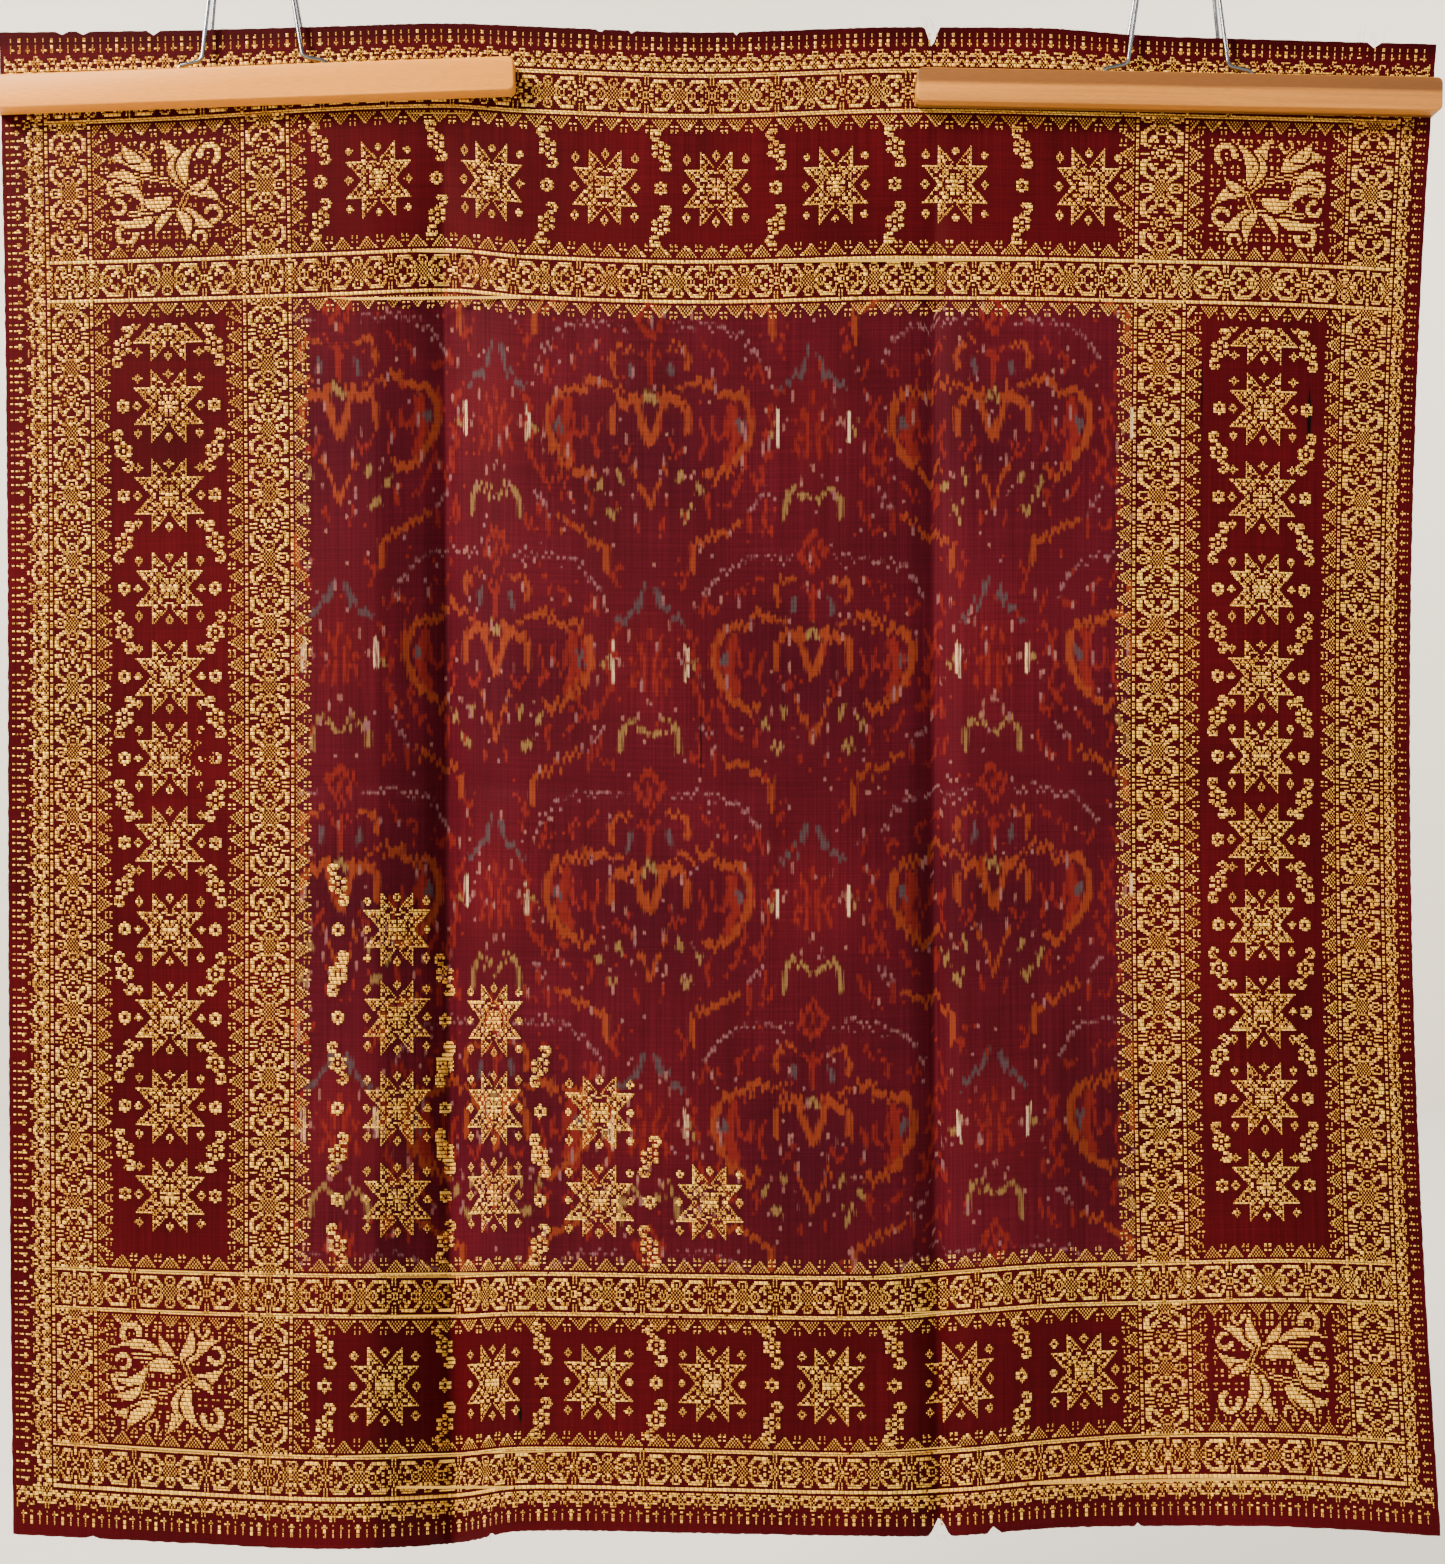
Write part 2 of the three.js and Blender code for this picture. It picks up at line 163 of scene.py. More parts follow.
def hang(across, down):
    """Places in space, in millimetres, of points of the flat cloth."""
    across = np.asarray(across, float).ravel()
    down = np.asarray(down, float).ravel()
    back = sum(fold_depth(fold, across, down) for fold in FOLDS)
    back = back + sum(crease_depth(crease, across, down) for crease in CREASES)
    lifts = [section_value(1 + row, across) for row in range(len(ROW_AT))]
    lift = through(ROW_AT, np.array(lifts), down)
    middle = section_value(MIDDLE_COLUMN, across)
    low = section_value(LOW_COLUMN, across)
    above = middle * (1 - (1 - np.minimum(down / MIDDLE_DOWN, 1)) ** 2)
    below = (low - middle) * (np.maximum(down - MIDDLE_DOWN, 0) / (CLOTH_DROP - MIDDLE_DOWN)) ** 2
    spread = 1 + back / EYE_DISTANCE
    seen_across = across + above + below
    seen_height = CLOTH_TOP - down + lift
    return np.stack([
        EYE_ACROSS + (seen_across - EYE_ACROSS) * spread,
        back,
        EYE_HEIGHT + (seen_height - EYE_HEIGHT) * spread,
    ], axis=1)


def facing(across, down):
    """Unit normals of the hanging cloth, towards the viewer."""
    step = 1.0
    sideways = hang(across + step, down) - hang(across - step, down)
    upward = hang(across, down - step) - hang(across, down + step)
    normal = np.cross(sideways, upward)
    return normal / np.linalg.norm(normal, axis=1)[:, None]


# The weaver's chart: one cell is one gold pick over a pair of warp ends

COLUMNS, ROWS = 928, 751
CELL_WIDE = (CLOTH_RIGHT - CLOTH_LEFT) / COLUMNS
CELL_TALL = CLOTH_DROP / ROWS
cell_across = CLOTH_LEFT + (np.arange(COLUMNS) + 0.5) * CELL_WIDE
cell_down = (np.arange(ROWS) + 0.5) * CELL_TALL
gold = np.zeros((ROWS, COLUMNS), bool)


def across_of(column):
    return CLOTH_LEFT + column * CELL_WIDE


def down_of(row):
    return row * CELL_TALL


def cells(left, right, top, bottom):
    """Row and column slices of a block given in millimetres."""
    columns = [max(0, round((edge - CLOTH_LEFT) / CELL_WIDE)) for edge in (left, right)]
    rows = [max(0, round(edge / CELL_TALL)) for edge in (top, bottom)]
    return slice(*rows), slice(*columns)


def stamp(motif, across, down, half_wide, half_tall, **how):
    """Weaves a motif, a function of places about its own middle, into the chart."""
    rows, columns = cells(across - half_wide, across + half_wide, down - half_tall, down + half_tall)
    x = cell_across[columns][None, :] - across
    y = cell_down[rows][:, None] - down
    gold[rows, columns] |= motif(x, y, **how)


def strip(motif, block, along_down, pitch, outward):
    """Weaves a repeating strip into a block of cells: along it the motif repeats a whole number of times,
    and outward is the side, 1 or -1, that the motif's tip points to."""
    left, right, top, bottom = block
    rows, columns = cells(*block)
    x = cell_across[columns][None, :]
    y = cell_down[rows][:, None]
    along, across, length = (y - top, x, bottom - top) if along_down else (x - left, y, right - left)
    low, high = (left, right) if along_down else (top, bottom)
    out = across - low if outward > 0 else high - across
    count = max(1, round(length / pitch))
    fitted = length / count
    turn = (along + fitted / 2) % fitted - fitted / 2
    turn, out = np.broadcast_arrays(turn, out)
    even = (np.arange(ROWS)[rows][:, None] + np.arange(COLUMNS)[columns][None, :]) % 2 == 0
    gold[rows, columns] |= motif(turn, out, fitted, high - low, even)


def dot(x, y, cx, cy, radius):
    return np.hypot(x - cx, y - cy) <= radius


def ringlet(x, y, cx, cy, outer=3.05, inner=1.7, seed=0.7):
    """A ring with a dot in it."""
    far = np.hypot(x - cx, y - cy)
    return ((far <= outer) & (far >= inner)) | (far <= seed)


def stroke(x, y, x0, y0, x1, y1, half):
    return to_segment(x, y, x0, y0, x1, y1) <= half


def curl(x, y, cx, cy, radius, start, end, half):
    return to_arc(x, y, cx, cy, radius, start, end) <= half


def petals(x, y, count, reach, radius, turn):
    """Round petals about the middle, the first at a turn in degrees."""
    woven = dot(x, y, 0, 0, 0)
    for k in range(count):
        angle = math.radians(turn + 360 * k / count)
        woven |= dot(x, y, reach * math.cos(angle), reach * math.sin(angle), radius)
    return woven


def leaf(x, y, x0, y0, x1, y1, bow, half):
    """A bowed leaf from its root to its tip, widest nearer the root."""
    dx, dy = x1 - x0, y1 - y0
    length = math.hypot(dx, dy)
    t = ((x - x0) * dx + (y - y0) * dy) / length ** 2
    side = ((y - y0) * dx - (x - x0) * dy) / length - bow * 4 * t * (1 - t)
    return np.abs(side) <= half * np.sin(math.pi * np.clip(t, 0, 1) ** 0.7)


# Repeating strips: turn is the place along the repeat, out the distance from the strip's base,
# and even marks every other cell, the lattice that fills small shapes

def tumpal(turn, out, pitch, depth, even):
    """A row of latticed triangles with a four-dot flower between the tips."""
    a = np.abs(turn)
    half = (1 - out / (depth * 0.96)) * (pitch / 2 - 0.5)
    inside = a <= half
    rim = inside & (a > half - 1.2)
    flower = dot(pitch / 2 - a, np.abs(out - depth * 0.72), 1.4, 1.4, 0.9)
    return rim | (inside & even) | flower


VINE_HALF_PITCH, VINE_HALF_DEPTH = 19.5, 9.6


def vine_band(turn, out, pitch, depth, even):
    """Four-ringed rosettes, then brackets with leaves round a ringed flower on two stems."""
    a = np.abs(turn) * (2 * VINE_HALF_PITCH / pitch)
    c = np.abs(out - depth / 2) * (2 * VINE_HALF_DEPTH / depth)
    x = VINE_HALF_PITCH - a
    rosette = ringlet(a, c, 0, 6.3) | ringlet(a, c, 7.1, 0) | ((a + c < 5.8) & even)
    bracket = stroke(a, c, 4.3, 3.5, 8.2, 7.9, 1.1) | stroke(a, c, 8.2, 7.9, 14.4, 7.9, 1.2)
    hooks = stroke(a, c, 14.4, 7.9, 15.9, 5.6, 1.0) | stroke(a, c, 10.6, 3.3, 12.9, 5.2, 1.2)
    hooks |= dot(a, c, 13.3, 2.1, 1.1)
    stems = (np.abs(x - 1.0) < 0.5) & (c > 5.4)
    flower = ringlet(x, c, 0, 0, 2.5, 1.3) | dot(x, c, 3.7, 0, 1.0)
    flower |= dot(x, c, 2.8, 3.0, 1.1) | dot(x, c, 0, 4.1, 0.8)
    return rosette | bracket | hooks | stems | flower


FENCE_HALF_PITCH, FENCE_DEPTH = 9.85, 21.2


def fence(turn, out, pitch, depth, even):
    """Palmettes and buds on crossed stems, under dashed bars with an arrow between each pair."""
    a = np.abs(turn) * (2 * FENCE_HALF_PITCH / pitch)
    y = out * (FENCE_DEPTH / depth)
    x = FENCE_HALF_PITCH - a
    between = np.abs(a - FENCE_HALF_PITCH / 2)
    palmette = ((a < 2.0) & (y > 0.5) & (y < 9.2) & even) | ringlet(a, y, 0, 10.2, 1.9, 0.8, 0.3)
    palmette |= curl(a, y, 4.2, 5.1, 2.5, -170, 100, 1.05) | stroke(a, y, 0.8, 8.6, 3.9, 7.6, 1.0)
    stems = stroke(a, y, 2.8, 0.9, 5.8, 0.9, 0.8) | stroke(a, y, 5.8, 1.0, 9.85, 5.2, 0.8)
    stems |= dot(x, y, 0, 1.4, 1.0)
    bud = ringlet(x, y, 0, 8.8, 2.0, 0.8, 0.3) | dot(x, y, 2.6, 10.3, 0.7)
    dashed = (y - 12.6) % 3.1 < 2.3
    bars = (np.minimum(a, x) < 0.6) & (y > 12.6) & dashed
    arrows = (between < 0.6) & (y > 13.4) & dashed
    barbs = (between < 1.7) & (np.abs(y - 14.6) < 0.65)
    return palmette | stems | bud | bars | arrows | barbs


def ladder(turn, out, pitch, depth, even):
    """The upright line between two bands: a column of short dashes."""
    return np.abs(turn) < pitch * 0.37


def rope(turn, out, pitch, depth, even):
    """The level line between two bands, unbroken."""
    return out > 0


# Single motifs

# A star, in shares of its half sizes: lozenges round it, then slots as middle and half sizes
STAR_DROPS = ((0, 0.84), (0.89, 0), (0.87, 0.74))
STAR_DROP, STAR_DROP_HOLE = 0.135, 0.25
STAR_SLOTS = ((0.22, 0.535, 0.085, 0.045), (0.56, 0.24, 0.075, 0.045), (0, 0.5, 0.045, 0.06))
STAR_HEART, STAR_SEED, STAR_BEADED = 0.33, 0.10, 0.38
# spacing and width of the seams between its beads in millimetres, and the share of it that has them
STAR_BEAD, STAR_SEAM, STAR_RIM = 5.4, 1.15, 0.88


def star_shape(p, q):
    """An eight-pointed star, a square core with two points on each side, in shares of its half sizes."""
    core = np.maximum(p, q) <= 0.5
    return core | ((p <= 0.5) & (q <= 0.5 + p)) | ((q <= 0.5) & (p <= 0.5 + q))


def star(x, y, wide, tall):
    """A star with a petalled heart, dark slots and beaded points, and small lozenges round it."""
    p, q = np.abs(x) / wide, np.abs(y) / tall
    r, turn = np.hypot(p, q), np.arctan2(q, p)
    dark = (np.abs(r - STAR_HEART) < 0.04) & (np.abs(np.sin(2 * turn)) < 0.93)
    dark |= (r > STAR_SEED) & (r < STAR_HEART) & (np.abs(np.sin(4 * turn)) < 0.36)
    for slot_p, slot_q, half_p, half_q in STAR_SLOTS:
        dark |= (np.abs(p - slot_p) < half_p) & (np.abs(q - slot_q) < half_q)
    rising, falling = np.abs(x) - np.abs(y), np.abs(x) + np.abs(y)
    seams = (rising % STAR_BEAD < STAR_SEAM) | (falling % STAR_BEAD < STAR_SEAM)
    dark |= seams & (r > STAR_BEADED) & star_shape(p / STAR_RIM, q / STAR_RIM)
    woven = star_shape(p, q) & ~dark
    for dp, dq in STAR_DROPS:
        lozenge = (np.abs(p - dp) + np.abs(q - dq)) / STAR_DROP
        woven |= (lozenge < 1) & (lozenge > STAR_DROP_HOLE)
    return woven


def half_star(x, y, wide, tall):
    """The lower half of a star that the band above it cuts off."""
    return star(x, y, wide, tall) & (y > -1)


def blossom(x, y):
    return petals(x, y, 6, 2.75, 1.55, 30) | dot(x, y, 0, 0, 0.5)


def sprig(x, y, lean):
    """A six-petalled flower with a leaf curling off at each end."""
    x = x * lean
    woven = petals(x, y, 6, 4.1, 1.8, 30) | dot(x, y, 0, 0, 1.3)
    for end in (-1, 1):
        tip_x, tip_y = -x * end, y * end
        woven |= curl(tip_x, tip_y, 2.9, 9.2, 2.6, -110, 150, 1.15) | dot(tip_x, tip_y, 3.0, 9.4, 0.8)
    return woven


def small_flower(x, y):
    return dot(np.abs(x), np.abs(y), 1.6, 1.6, 1.0)


# A corner square's leaf scroll: leaves as root, tip, bow and half width
SCROLL_LEAVES = (
    (-8, -12, -36, -20, 4.5, 5.8),
    (-13, -18, -27, -31, -3.0, 3.6),
    (5, -5, -3, -32, 4.5, 4.8),
    (8, -4, 9, -25, -4.5, 3.4),
    (12, -2, 21, -29, -6.0, 3.8),
    (13, 2, 33, 10, -4.0, 3.8),
    (14, 0, 27, -8, 2.0, 2.6),
    (11, 11, 31, 25, 3.0, 3.8),
    (6, 13, 12, 32, -3.5, 3.6),
    (3, 14, -7, 29, 2.0, 2.8),
    (4, 6, -17, 5, -3.5, 4.6),
    (-13, 8, -36, 1, 6.5, 3.6),
    (-5, 16, -35, 18, -4.0, 3.2),
    (-17, -4, -37, -9, 4.0, 3.2),
)
# curls as middle, radius, start and end angle and half width, and double stems as two ends
SCROLL_CURLS = (
    (26, -21, 5.6, -190, 60, 1.9),
    (-24, 27, 5.4, -60, 230, 1.9),
    (-30, -2, 4.6, 20, 290, 1.5),
    (28, 16, 4.4, -160, 100, 1.5),
    (-29, 10, 4.0, -100, 170, 1.4),
    (20, 30, 3.2, 150, 400, 1.2),
    (-11, -27, 3.4, -30, 240, 1.2),
)
SCROLL_STEMS = ((-24, -11, 3, -5), (-22, 14, 6, 13), (4, -5, 13, 2), (13, 2, 8, 13), (-17, -5, -15, 7))
SCROLL_FILL = 8.0
SCROLL_EDGE = 1.5


def arabesque(x, y, lean, upside):
    """Leaves and curls on double stems, on a ground of four-dot flowers."""
    x, y = x * lean, y * upside
    shift = SCROLL_FILL / 2 * (np.floor(y / SCROLL_FILL) % 2)
    woven = small_flower((x + shift) % SCROLL_FILL - SCROLL_FILL / 2, y % SCROLL_FILL - SCROLL_FILL / 2)
    for each in SCROLL_STEMS:
        far = to_segment(x, y, *each)
        woven = (woven & (far > 2.6)) | (np.abs(far - 1.2) < 0.62)
    for each in SCROLL_CURLS:
        woven = (woven & ~curl(x, y, *each[:5], each[5] + SCROLL_EDGE)) | curl(x, y, *each)
    for each in SCROLL_LEAVES:
        woven = (woven & ~leaf(x, y, *each[:5], each[5] + SCROLL_EDGE)) | leaf(x, y, *each)
    return woven


# Layout of the chart: the level lines and upright ladders, in rows and columns of cells

LEVEL_LINES = (21, 41, 114, 134, 621, 641, 709, 728)
LINE_ROWS = 2
LADDERS = (28, 56, 155, 184, 735, 767, 874, 906)
LADDER_COLUMNS = 2
LADDER_PITCH = 4.1
BAND_PITCH_LEVEL, BAND_PITCH_UPRIGHT = 40.0, 38.0
TUMPAL_LEVEL, TUMPAL_UPRIGHT = 14.8, 13.2
TUMPAL_DEPTH_LEVEL, TUMPAL_DEPTH_UPRIGHT = 8.4, 9.6
FENCE_PITCH_LEVEL, FENCE_PITCH_UPRIGHT = 19.7, 17.7
TOP_MARGIN, HEM_MARGIN, SIDE_MARGIN = 4.0, 6.0, 2.4

LEVEL_BANDS = tuple(zip(LEVEL_LINES[0::2], LEVEL_LINES[1::2]))
LEVEL_GAPS = tuple(zip(LEVEL_LINES[1:-1:2], LEVEL_LINES[2::2]))
UPRIGHT_BANDS = tuple(zip(LADDERS[0::2], LADDERS[1::2]))
PANEL_COLUMNS = tuple(zip(LADDERS[1:-1:2], LADDERS[2::2]))
FIELD_ROWS = (LEVEL_GAPS[1][0] + LINE_ROWS, LEVEL_GAPS[1][1])
FIELD_COLUMNS = (PANEL_COLUMNS[1][0] + LADDER_COLUMNS, PANEL_COLUMNS[1][1])
FIELD_EDGE_COLUMNS = 11

STAR_TOP, STAR_SIDE, STAR_FIELD = (20.2, 23.6), (21.4, 22.6), (20.2, 22.8)
STAR_ACROSS_TOP = (-204, -134, -65, 1, 73, 144, 225)
STAR_ACROSS_HEM = (-203, -133, -66, 0, 71, 145, 221)
HALF_STAR_DOWN, FIRST_SPRIG_DOWN = 177, 190
STAR_DOWNS_SIDE = (226, 280, 336, 389, 438, 489, 541, 594, 647, 700)
FIELD_STARS = ((-196, 541), (-196, 593), (-196, 647), (-196, 701), (-132, 595), (-132, 647), (-132, 699),
               (-66, 649), (-66, 702), (-2, 702))
BESIDE_STAR, OVER_STAR = 27.5, 22.6
BEFORE_FIELD_STAR, OVER_FIELD_STAR = 35, 27
STAR_REACH = (26, 27)
BLOSSOM_REACH = (6, 6)
SPRIG_REACH = (9, 14)
SCROLL_REACH = (37, 33)


def between_lines(pair, ease):
    """Top and bottom, in millimetres, of the rows between two level lines."""
    return down_of(pair[0] + LINE_ROWS) + ease, down_of(pair[1]) - ease


def between_ladders(pair, ease):
    return across_of(pair[0] + LADDER_COLUMNS) + ease, across_of(pair[1]) - ease


def weave_lines():
    left, right = across_of(LADDERS[0]), across_of(LADDERS[-1] + LADDER_COLUMNS)
    top, low = down_of(LEVEL_LINES[0]), down_of(LEVEL_LINES[-1] + LINE_ROWS)
    for column in LADDERS:
        block = (across_of(column), across_of(column + LADDER_COLUMNS), top, low)
        strip(ladder, block, True, LADDER_PITCH, 1)
    for row in LEVEL_LINES:
        strip(rope, (left, right, down_of(row), down_of(row + LINE_ROWS)), False, LADDER_PITCH, 1)


def weave_bands():
    for rows in LEVEL_BANDS:
        for columns in (*PANEL_COLUMNS, *UPRIGHT_BANDS):
            block = (*between_ladders(columns, 0.4), *between_lines(rows, 0.5))
            strip(vine_band, block, False, BAND_PITCH_LEVEL, 1)
    for rows in LEVEL_GAPS:
        for columns in UPRIGHT_BANDS:
            block = (*between_ladders(columns, 0.5), *between_lines(rows, 0.4))
            strip(vine_band, block, True, BAND_PITCH_UPRIGHT, 1)


def weave_panel_edges():
    """Triangles round the inside of every panel, pointing to its middle."""
    for rows in LEVEL_GAPS:
        top, low = between_lines(rows, 0.8)
        for columns in PANEL_COLUMNS:
            left, right = between_ladders(columns, 0.7)
            inner_top, inner_low = top + TUMPAL_DEPTH_LEVEL, low - TUMPAL_DEPTH_LEVEL
            strip(tumpal, (left, right, top, inner_top), False, TUMPAL_LEVEL, 1)
            strip(tumpal, (left, right, inner_low, low), False, TUMPAL_LEVEL, -1)
            left_edge = (left, left + TUMPAL_DEPTH_UPRIGHT, inner_top, inner_low)
            right_edge = (right - TUMPAL_DEPTH_UPRIGHT, right, inner_top, inner_low)
            strip(tumpal, left_edge, True, TUMPAL_UPRIGHT, 1)
            strip(tumpal, right_edge, True, TUMPAL_UPRIGHT, -1)


def weave_outer_edge():
    """The fence of palmettes and bars outside the outermost lines, on all four sides."""
    left, right = across_of(LADDERS[0]) - 0.8, across_of(LADDERS[-1] + LADDER_COLUMNS) + 0.8
    top, low = down_of(LEVEL_LINES[0]) - 0.6, down_of(LEVEL_LINES[-1] + LINE_ROWS) + 0.6
    rim_left, rim_right = CLOTH_LEFT + SIDE_MARGIN, CLOTH_RIGHT - SIDE_MARGIN
    strip(fence, (rim_left, rim_right, TOP_MARGIN, top), False, FENCE_PITCH_LEVEL, -1)
    strip(fence, (rim_left, rim_right, low, CLOTH_DROP - HEM_MARGIN), False, FENCE_PITCH_LEVEL, 1)
    strip(fence, (rim_left, left, top, low), True, FENCE_PITCH_UPRIGHT, -1)
    strip(fence, (right, rim_right, top, low), True, FENCE_PITCH_UPRIGHT, 1)


def weave_star_row(stars, down):
    """Stars along a level panel, with a blossom and two sprigs before each."""
    places = (2 * stars[0] - stars[1], *stars)
    for before, across in zip(places, stars):
        stamp(star, across, down, *STAR_REACH, wide=STAR_TOP[0], tall=STAR_TOP[1])
        between = (before + across) / 2
        stamp(blossom, between, down, *BLOSSOM_REACH)
        stamp(sprig, between, down - OVER_STAR, *SPRIG_REACH, lean=-1)
        stamp(sprig, between, down + OVER_STAR, *SPRIG_REACH, lean=1)


def weave_star_column(across, downs):
    """Stars down an upright panel, with blossoms beside them and sprigs between those."""
    stamp(half_star, across, HALF_STAR_DOWN, *STAR_REACH, wide=STAR_SIDE[0], tall=STAR_SIDE[1])
    sprig_downs = (FIRST_SPRIG_DOWN, *((a + b) / 2 for a, b in zip(downs, downs[1:])))
    for number, (down, sprig_down) in enumerate(zip(downs, sprig_downs)):
        stamp(star, across, down, *STAR_REACH, wide=STAR_SIDE[0], tall=STAR_SIDE[1])
        lean = 1 if number % 2 else -1
        for side in (-1, 1):
            stamp(blossom, across + side * BESIDE_STAR, down, *BLOSSOM_REACH)
            stamp(sprig, across + side * BESIDE_STAR, sprig_down, *SPRIG_REACH, lean=lean * side)


def weave_field_stars():
    for number, (across, down) in enumerate(FIELD_STARS):
        stamp(star, across, down, *STAR_REACH, wide=STAR_FIELD[0], tall=STAR_FIELD[1])
        lean = 1 if number % 2 else -1
        before = across - BEFORE_FIELD_STAR
        stamp(blossom, before, down, *BLOSSOM_REACH)
        stamp(sprig, before, down - OVER_FIELD_STAR, *SPRIG_REACH, lean=lean)
        stamp(sprig, before, down + OVER_FIELD_STAR, *SPRIG_REACH, lean=-lean)


def weave_corners():
    for upside, rows in ((1, LEVEL_GAPS[0]), (-1, LEVEL_GAPS[2])):
        for lean, columns in ((1, PANEL_COLUMNS[0]), (-1, PANEL_COLUMNS[2])):
            across = sum(between_ladders(columns, 0)) / 2
            down = sum(between_lines(rows, 0)) / 2
            stamp(arabesque, across, down, *SCROLL_REACH, lean=lean, upside=upside)


# Worn patches where gold picks have pulled out: place, half sizes and share lost
WORN = ((-312, 440, 9, 20, 0.5), (395, 20, 30, 14, 0.30), (300, 24, 60, 12, 0.15))
WORN_ANYWHERE = 0.006


def wear_away():
    lost = chance.rand(ROWS, COLUMNS)
    limit = np.full((ROWS, COLUMNS), WORN_ANYWHERE)
    for across, down, wide, tall, share in WORN:
        near = np.hypot((cell_across[None, :] - across) / wide, (cell_down[:, None] - down) / tall) < 1
        limit[near] = share
    gold[lost < limit] = False


weave_bands()
weave_panel_edges()
weave_outer_edge()
weave_lines()
weave_star_row(STAR_ACROSS_TOP, sum(between_lines(LEVEL_GAPS[0], 0)) / 2)
weave_star_row(STAR_ACROSS_HEM, sum(between_lines(LEVEL_GAPS[2], 0)) / 2)
weave_star_column(sum(between_ladders(PANEL_COLUMNS[0], 0)) / 2, STAR_DOWNS_SIDE)
weave_star_column(sum(between_ladders(PANEL_COLUMNS[2], 0)) / 2, STAR_DOWNS_SIDE)
weave_field_stars()
weave_corners()
wear_away()

# Colours and materials


def linear(code):
    """An sRGB hex colour as linear numbers."""
    parts = [int(code[i:i + 2], 16) / 255 for i in (1, 3, 5)]
    return tuple(c / 12.92 if c <= 0.04045 else ((c + 0.055) / 1.055) ** 2.4 for c in parts)


def colour(code):
    return (*linear(code), 1.0)


def set_inputs(tree, node, links):
    """Sets a node's inputs, each (input, value) or (input, socket to link)."""
    for name, value in links:
        if isinstance(value, bpy.types.NodeSocket):
            tree.links.new(value, node.inputs[name])
        else:
            node.inputs[name].default_value = value


def add_node(tree, kind, links=(), out=0, **settings):
    """Adds a shader node with its settings and inputs, and gives one of its outputs."""
    node = tree.nodes.new(kind)
    for name, value in settings.items():
        setattr(node, name, value)
    set_inputs(tree, node, links)
    return node.outputs[out]


def new_material(name):
    material = bpy.data.materials.new(name)
    material.use_nodes = True
    tree = material.node_tree
    return material, tree, tree.nodes["Principled BSDF"]


# Most noise lies between these values
NOISE_SPAN = (("From Min", 0.28), ("From Max", 0.72))


def streaks(tree, place, across, down, detail=2.0):
    """Noise drawn out along one way of the weave, so many streaks a metre across and down."""
    stretched = add_node(tree, "ShaderNodeMapping", [("Vector", place), ("Scale", (across, down, 1))])
    links = [("Vector", stretched), ("Scale", 1.0), ("Detail", detail)]
    return add_node(tree, "ShaderNodeTexNoise", links, "Fac")


# Plain-woven silk: soft ribs, slubbed warp and weft, and dye that has faded unevenly; its ground colour also
# carries painted shade among the gold picks.
# A wave texture turns by 20 radians in a unit of its scale.
RIB = 2.5
WAVE_STEP = 20
PAINT_SHARE = 0.8
# streaks a metre across and down, detail, darkest and lightest
SILK_STREAKS = (
    (900, 9, 2.0, 0.78, 1.24),
    (14, 1100, 2.0, 0.84, 1.18),
    (9, 7, 4.0, 0.84, 1.16),
)


def silk_material():
    material, tree, shader = new_material("silk_ground")
    ground = add_node(tree, "ShaderNodeAttribute", (), "Color", attribute_name="ground")
    paint = add_node(tree, "ShaderNodeAttribute", (), "Color", attribute_name="paint")
    depth = add_node(tree, "ShaderNodeAttribute", (), "Fac", attribute_name="depth")
    flat = add_node(tree, "ShaderNodeUVMap", (), "UV", uv_map="flat")
    ragged = add_node(tree, "ShaderNodeMapRange", [
        ("Value", streaks(tree, flat, 1500, 70)), *NOISE_SPAN, ("To Min", -0.22), ("To Max", 0.22)])
    reach = add_node(tree, "ShaderNodeMath", [(0, depth), (1, ragged)], operation="ADD")
    painted = add_node(tree, "ShaderNodeMapRange", [
        ("Value", reach), ("From Min", 0.36), ("From Max", 0.66), ("To Min", 0.0), ("To Max", PAINT_SHARE)])
    dye = add_node(tree, "ShaderNodeMix", [(0, painted), (6, ground), (7, paint)], 2, data_type="RGBA")
    for across, down, detail, darkest, lightest in SILK_STREAKS:
        streak = add_node(tree, "ShaderNodeMapRange", [
            ("Value", streaks(tree, flat, across, down, detail)), *NOISE_SPAN,
            ("To Min", darkest), ("To Max", lightest)])
        dye = add_node(tree, "ShaderNodeVectorMath", [(0, dye), ("Scale", streak)], operation="SCALE")
    wave = [("Vector", flat), ("Scale", 2 * math.pi / (WAVE_STEP * RIB * MM))]
    ends = add_node(tree, "ShaderNodeTexWave", wave, "Fac", bands_direction="X")
    picks = add_node(tree, "ShaderNodeTexWave", wave, "Fac", bands_direction="Y")
    ribs = add_node(tree, "ShaderNodeMath", [(0, ends), (1, picks)], operation="MULTIPLY")
    bump = add_node(tree, "ShaderNodeBump", [("Height", ribs), ("Strength", 0.3), ("Distance", 0.08 * MM)])
    set_inputs(tree, shader, [
        ("Base Color", dye),
        ("Roughness", 0.62),
        ("Specular IOR Level", 0.03),
        ("Normal", bump),
    ])
    return material


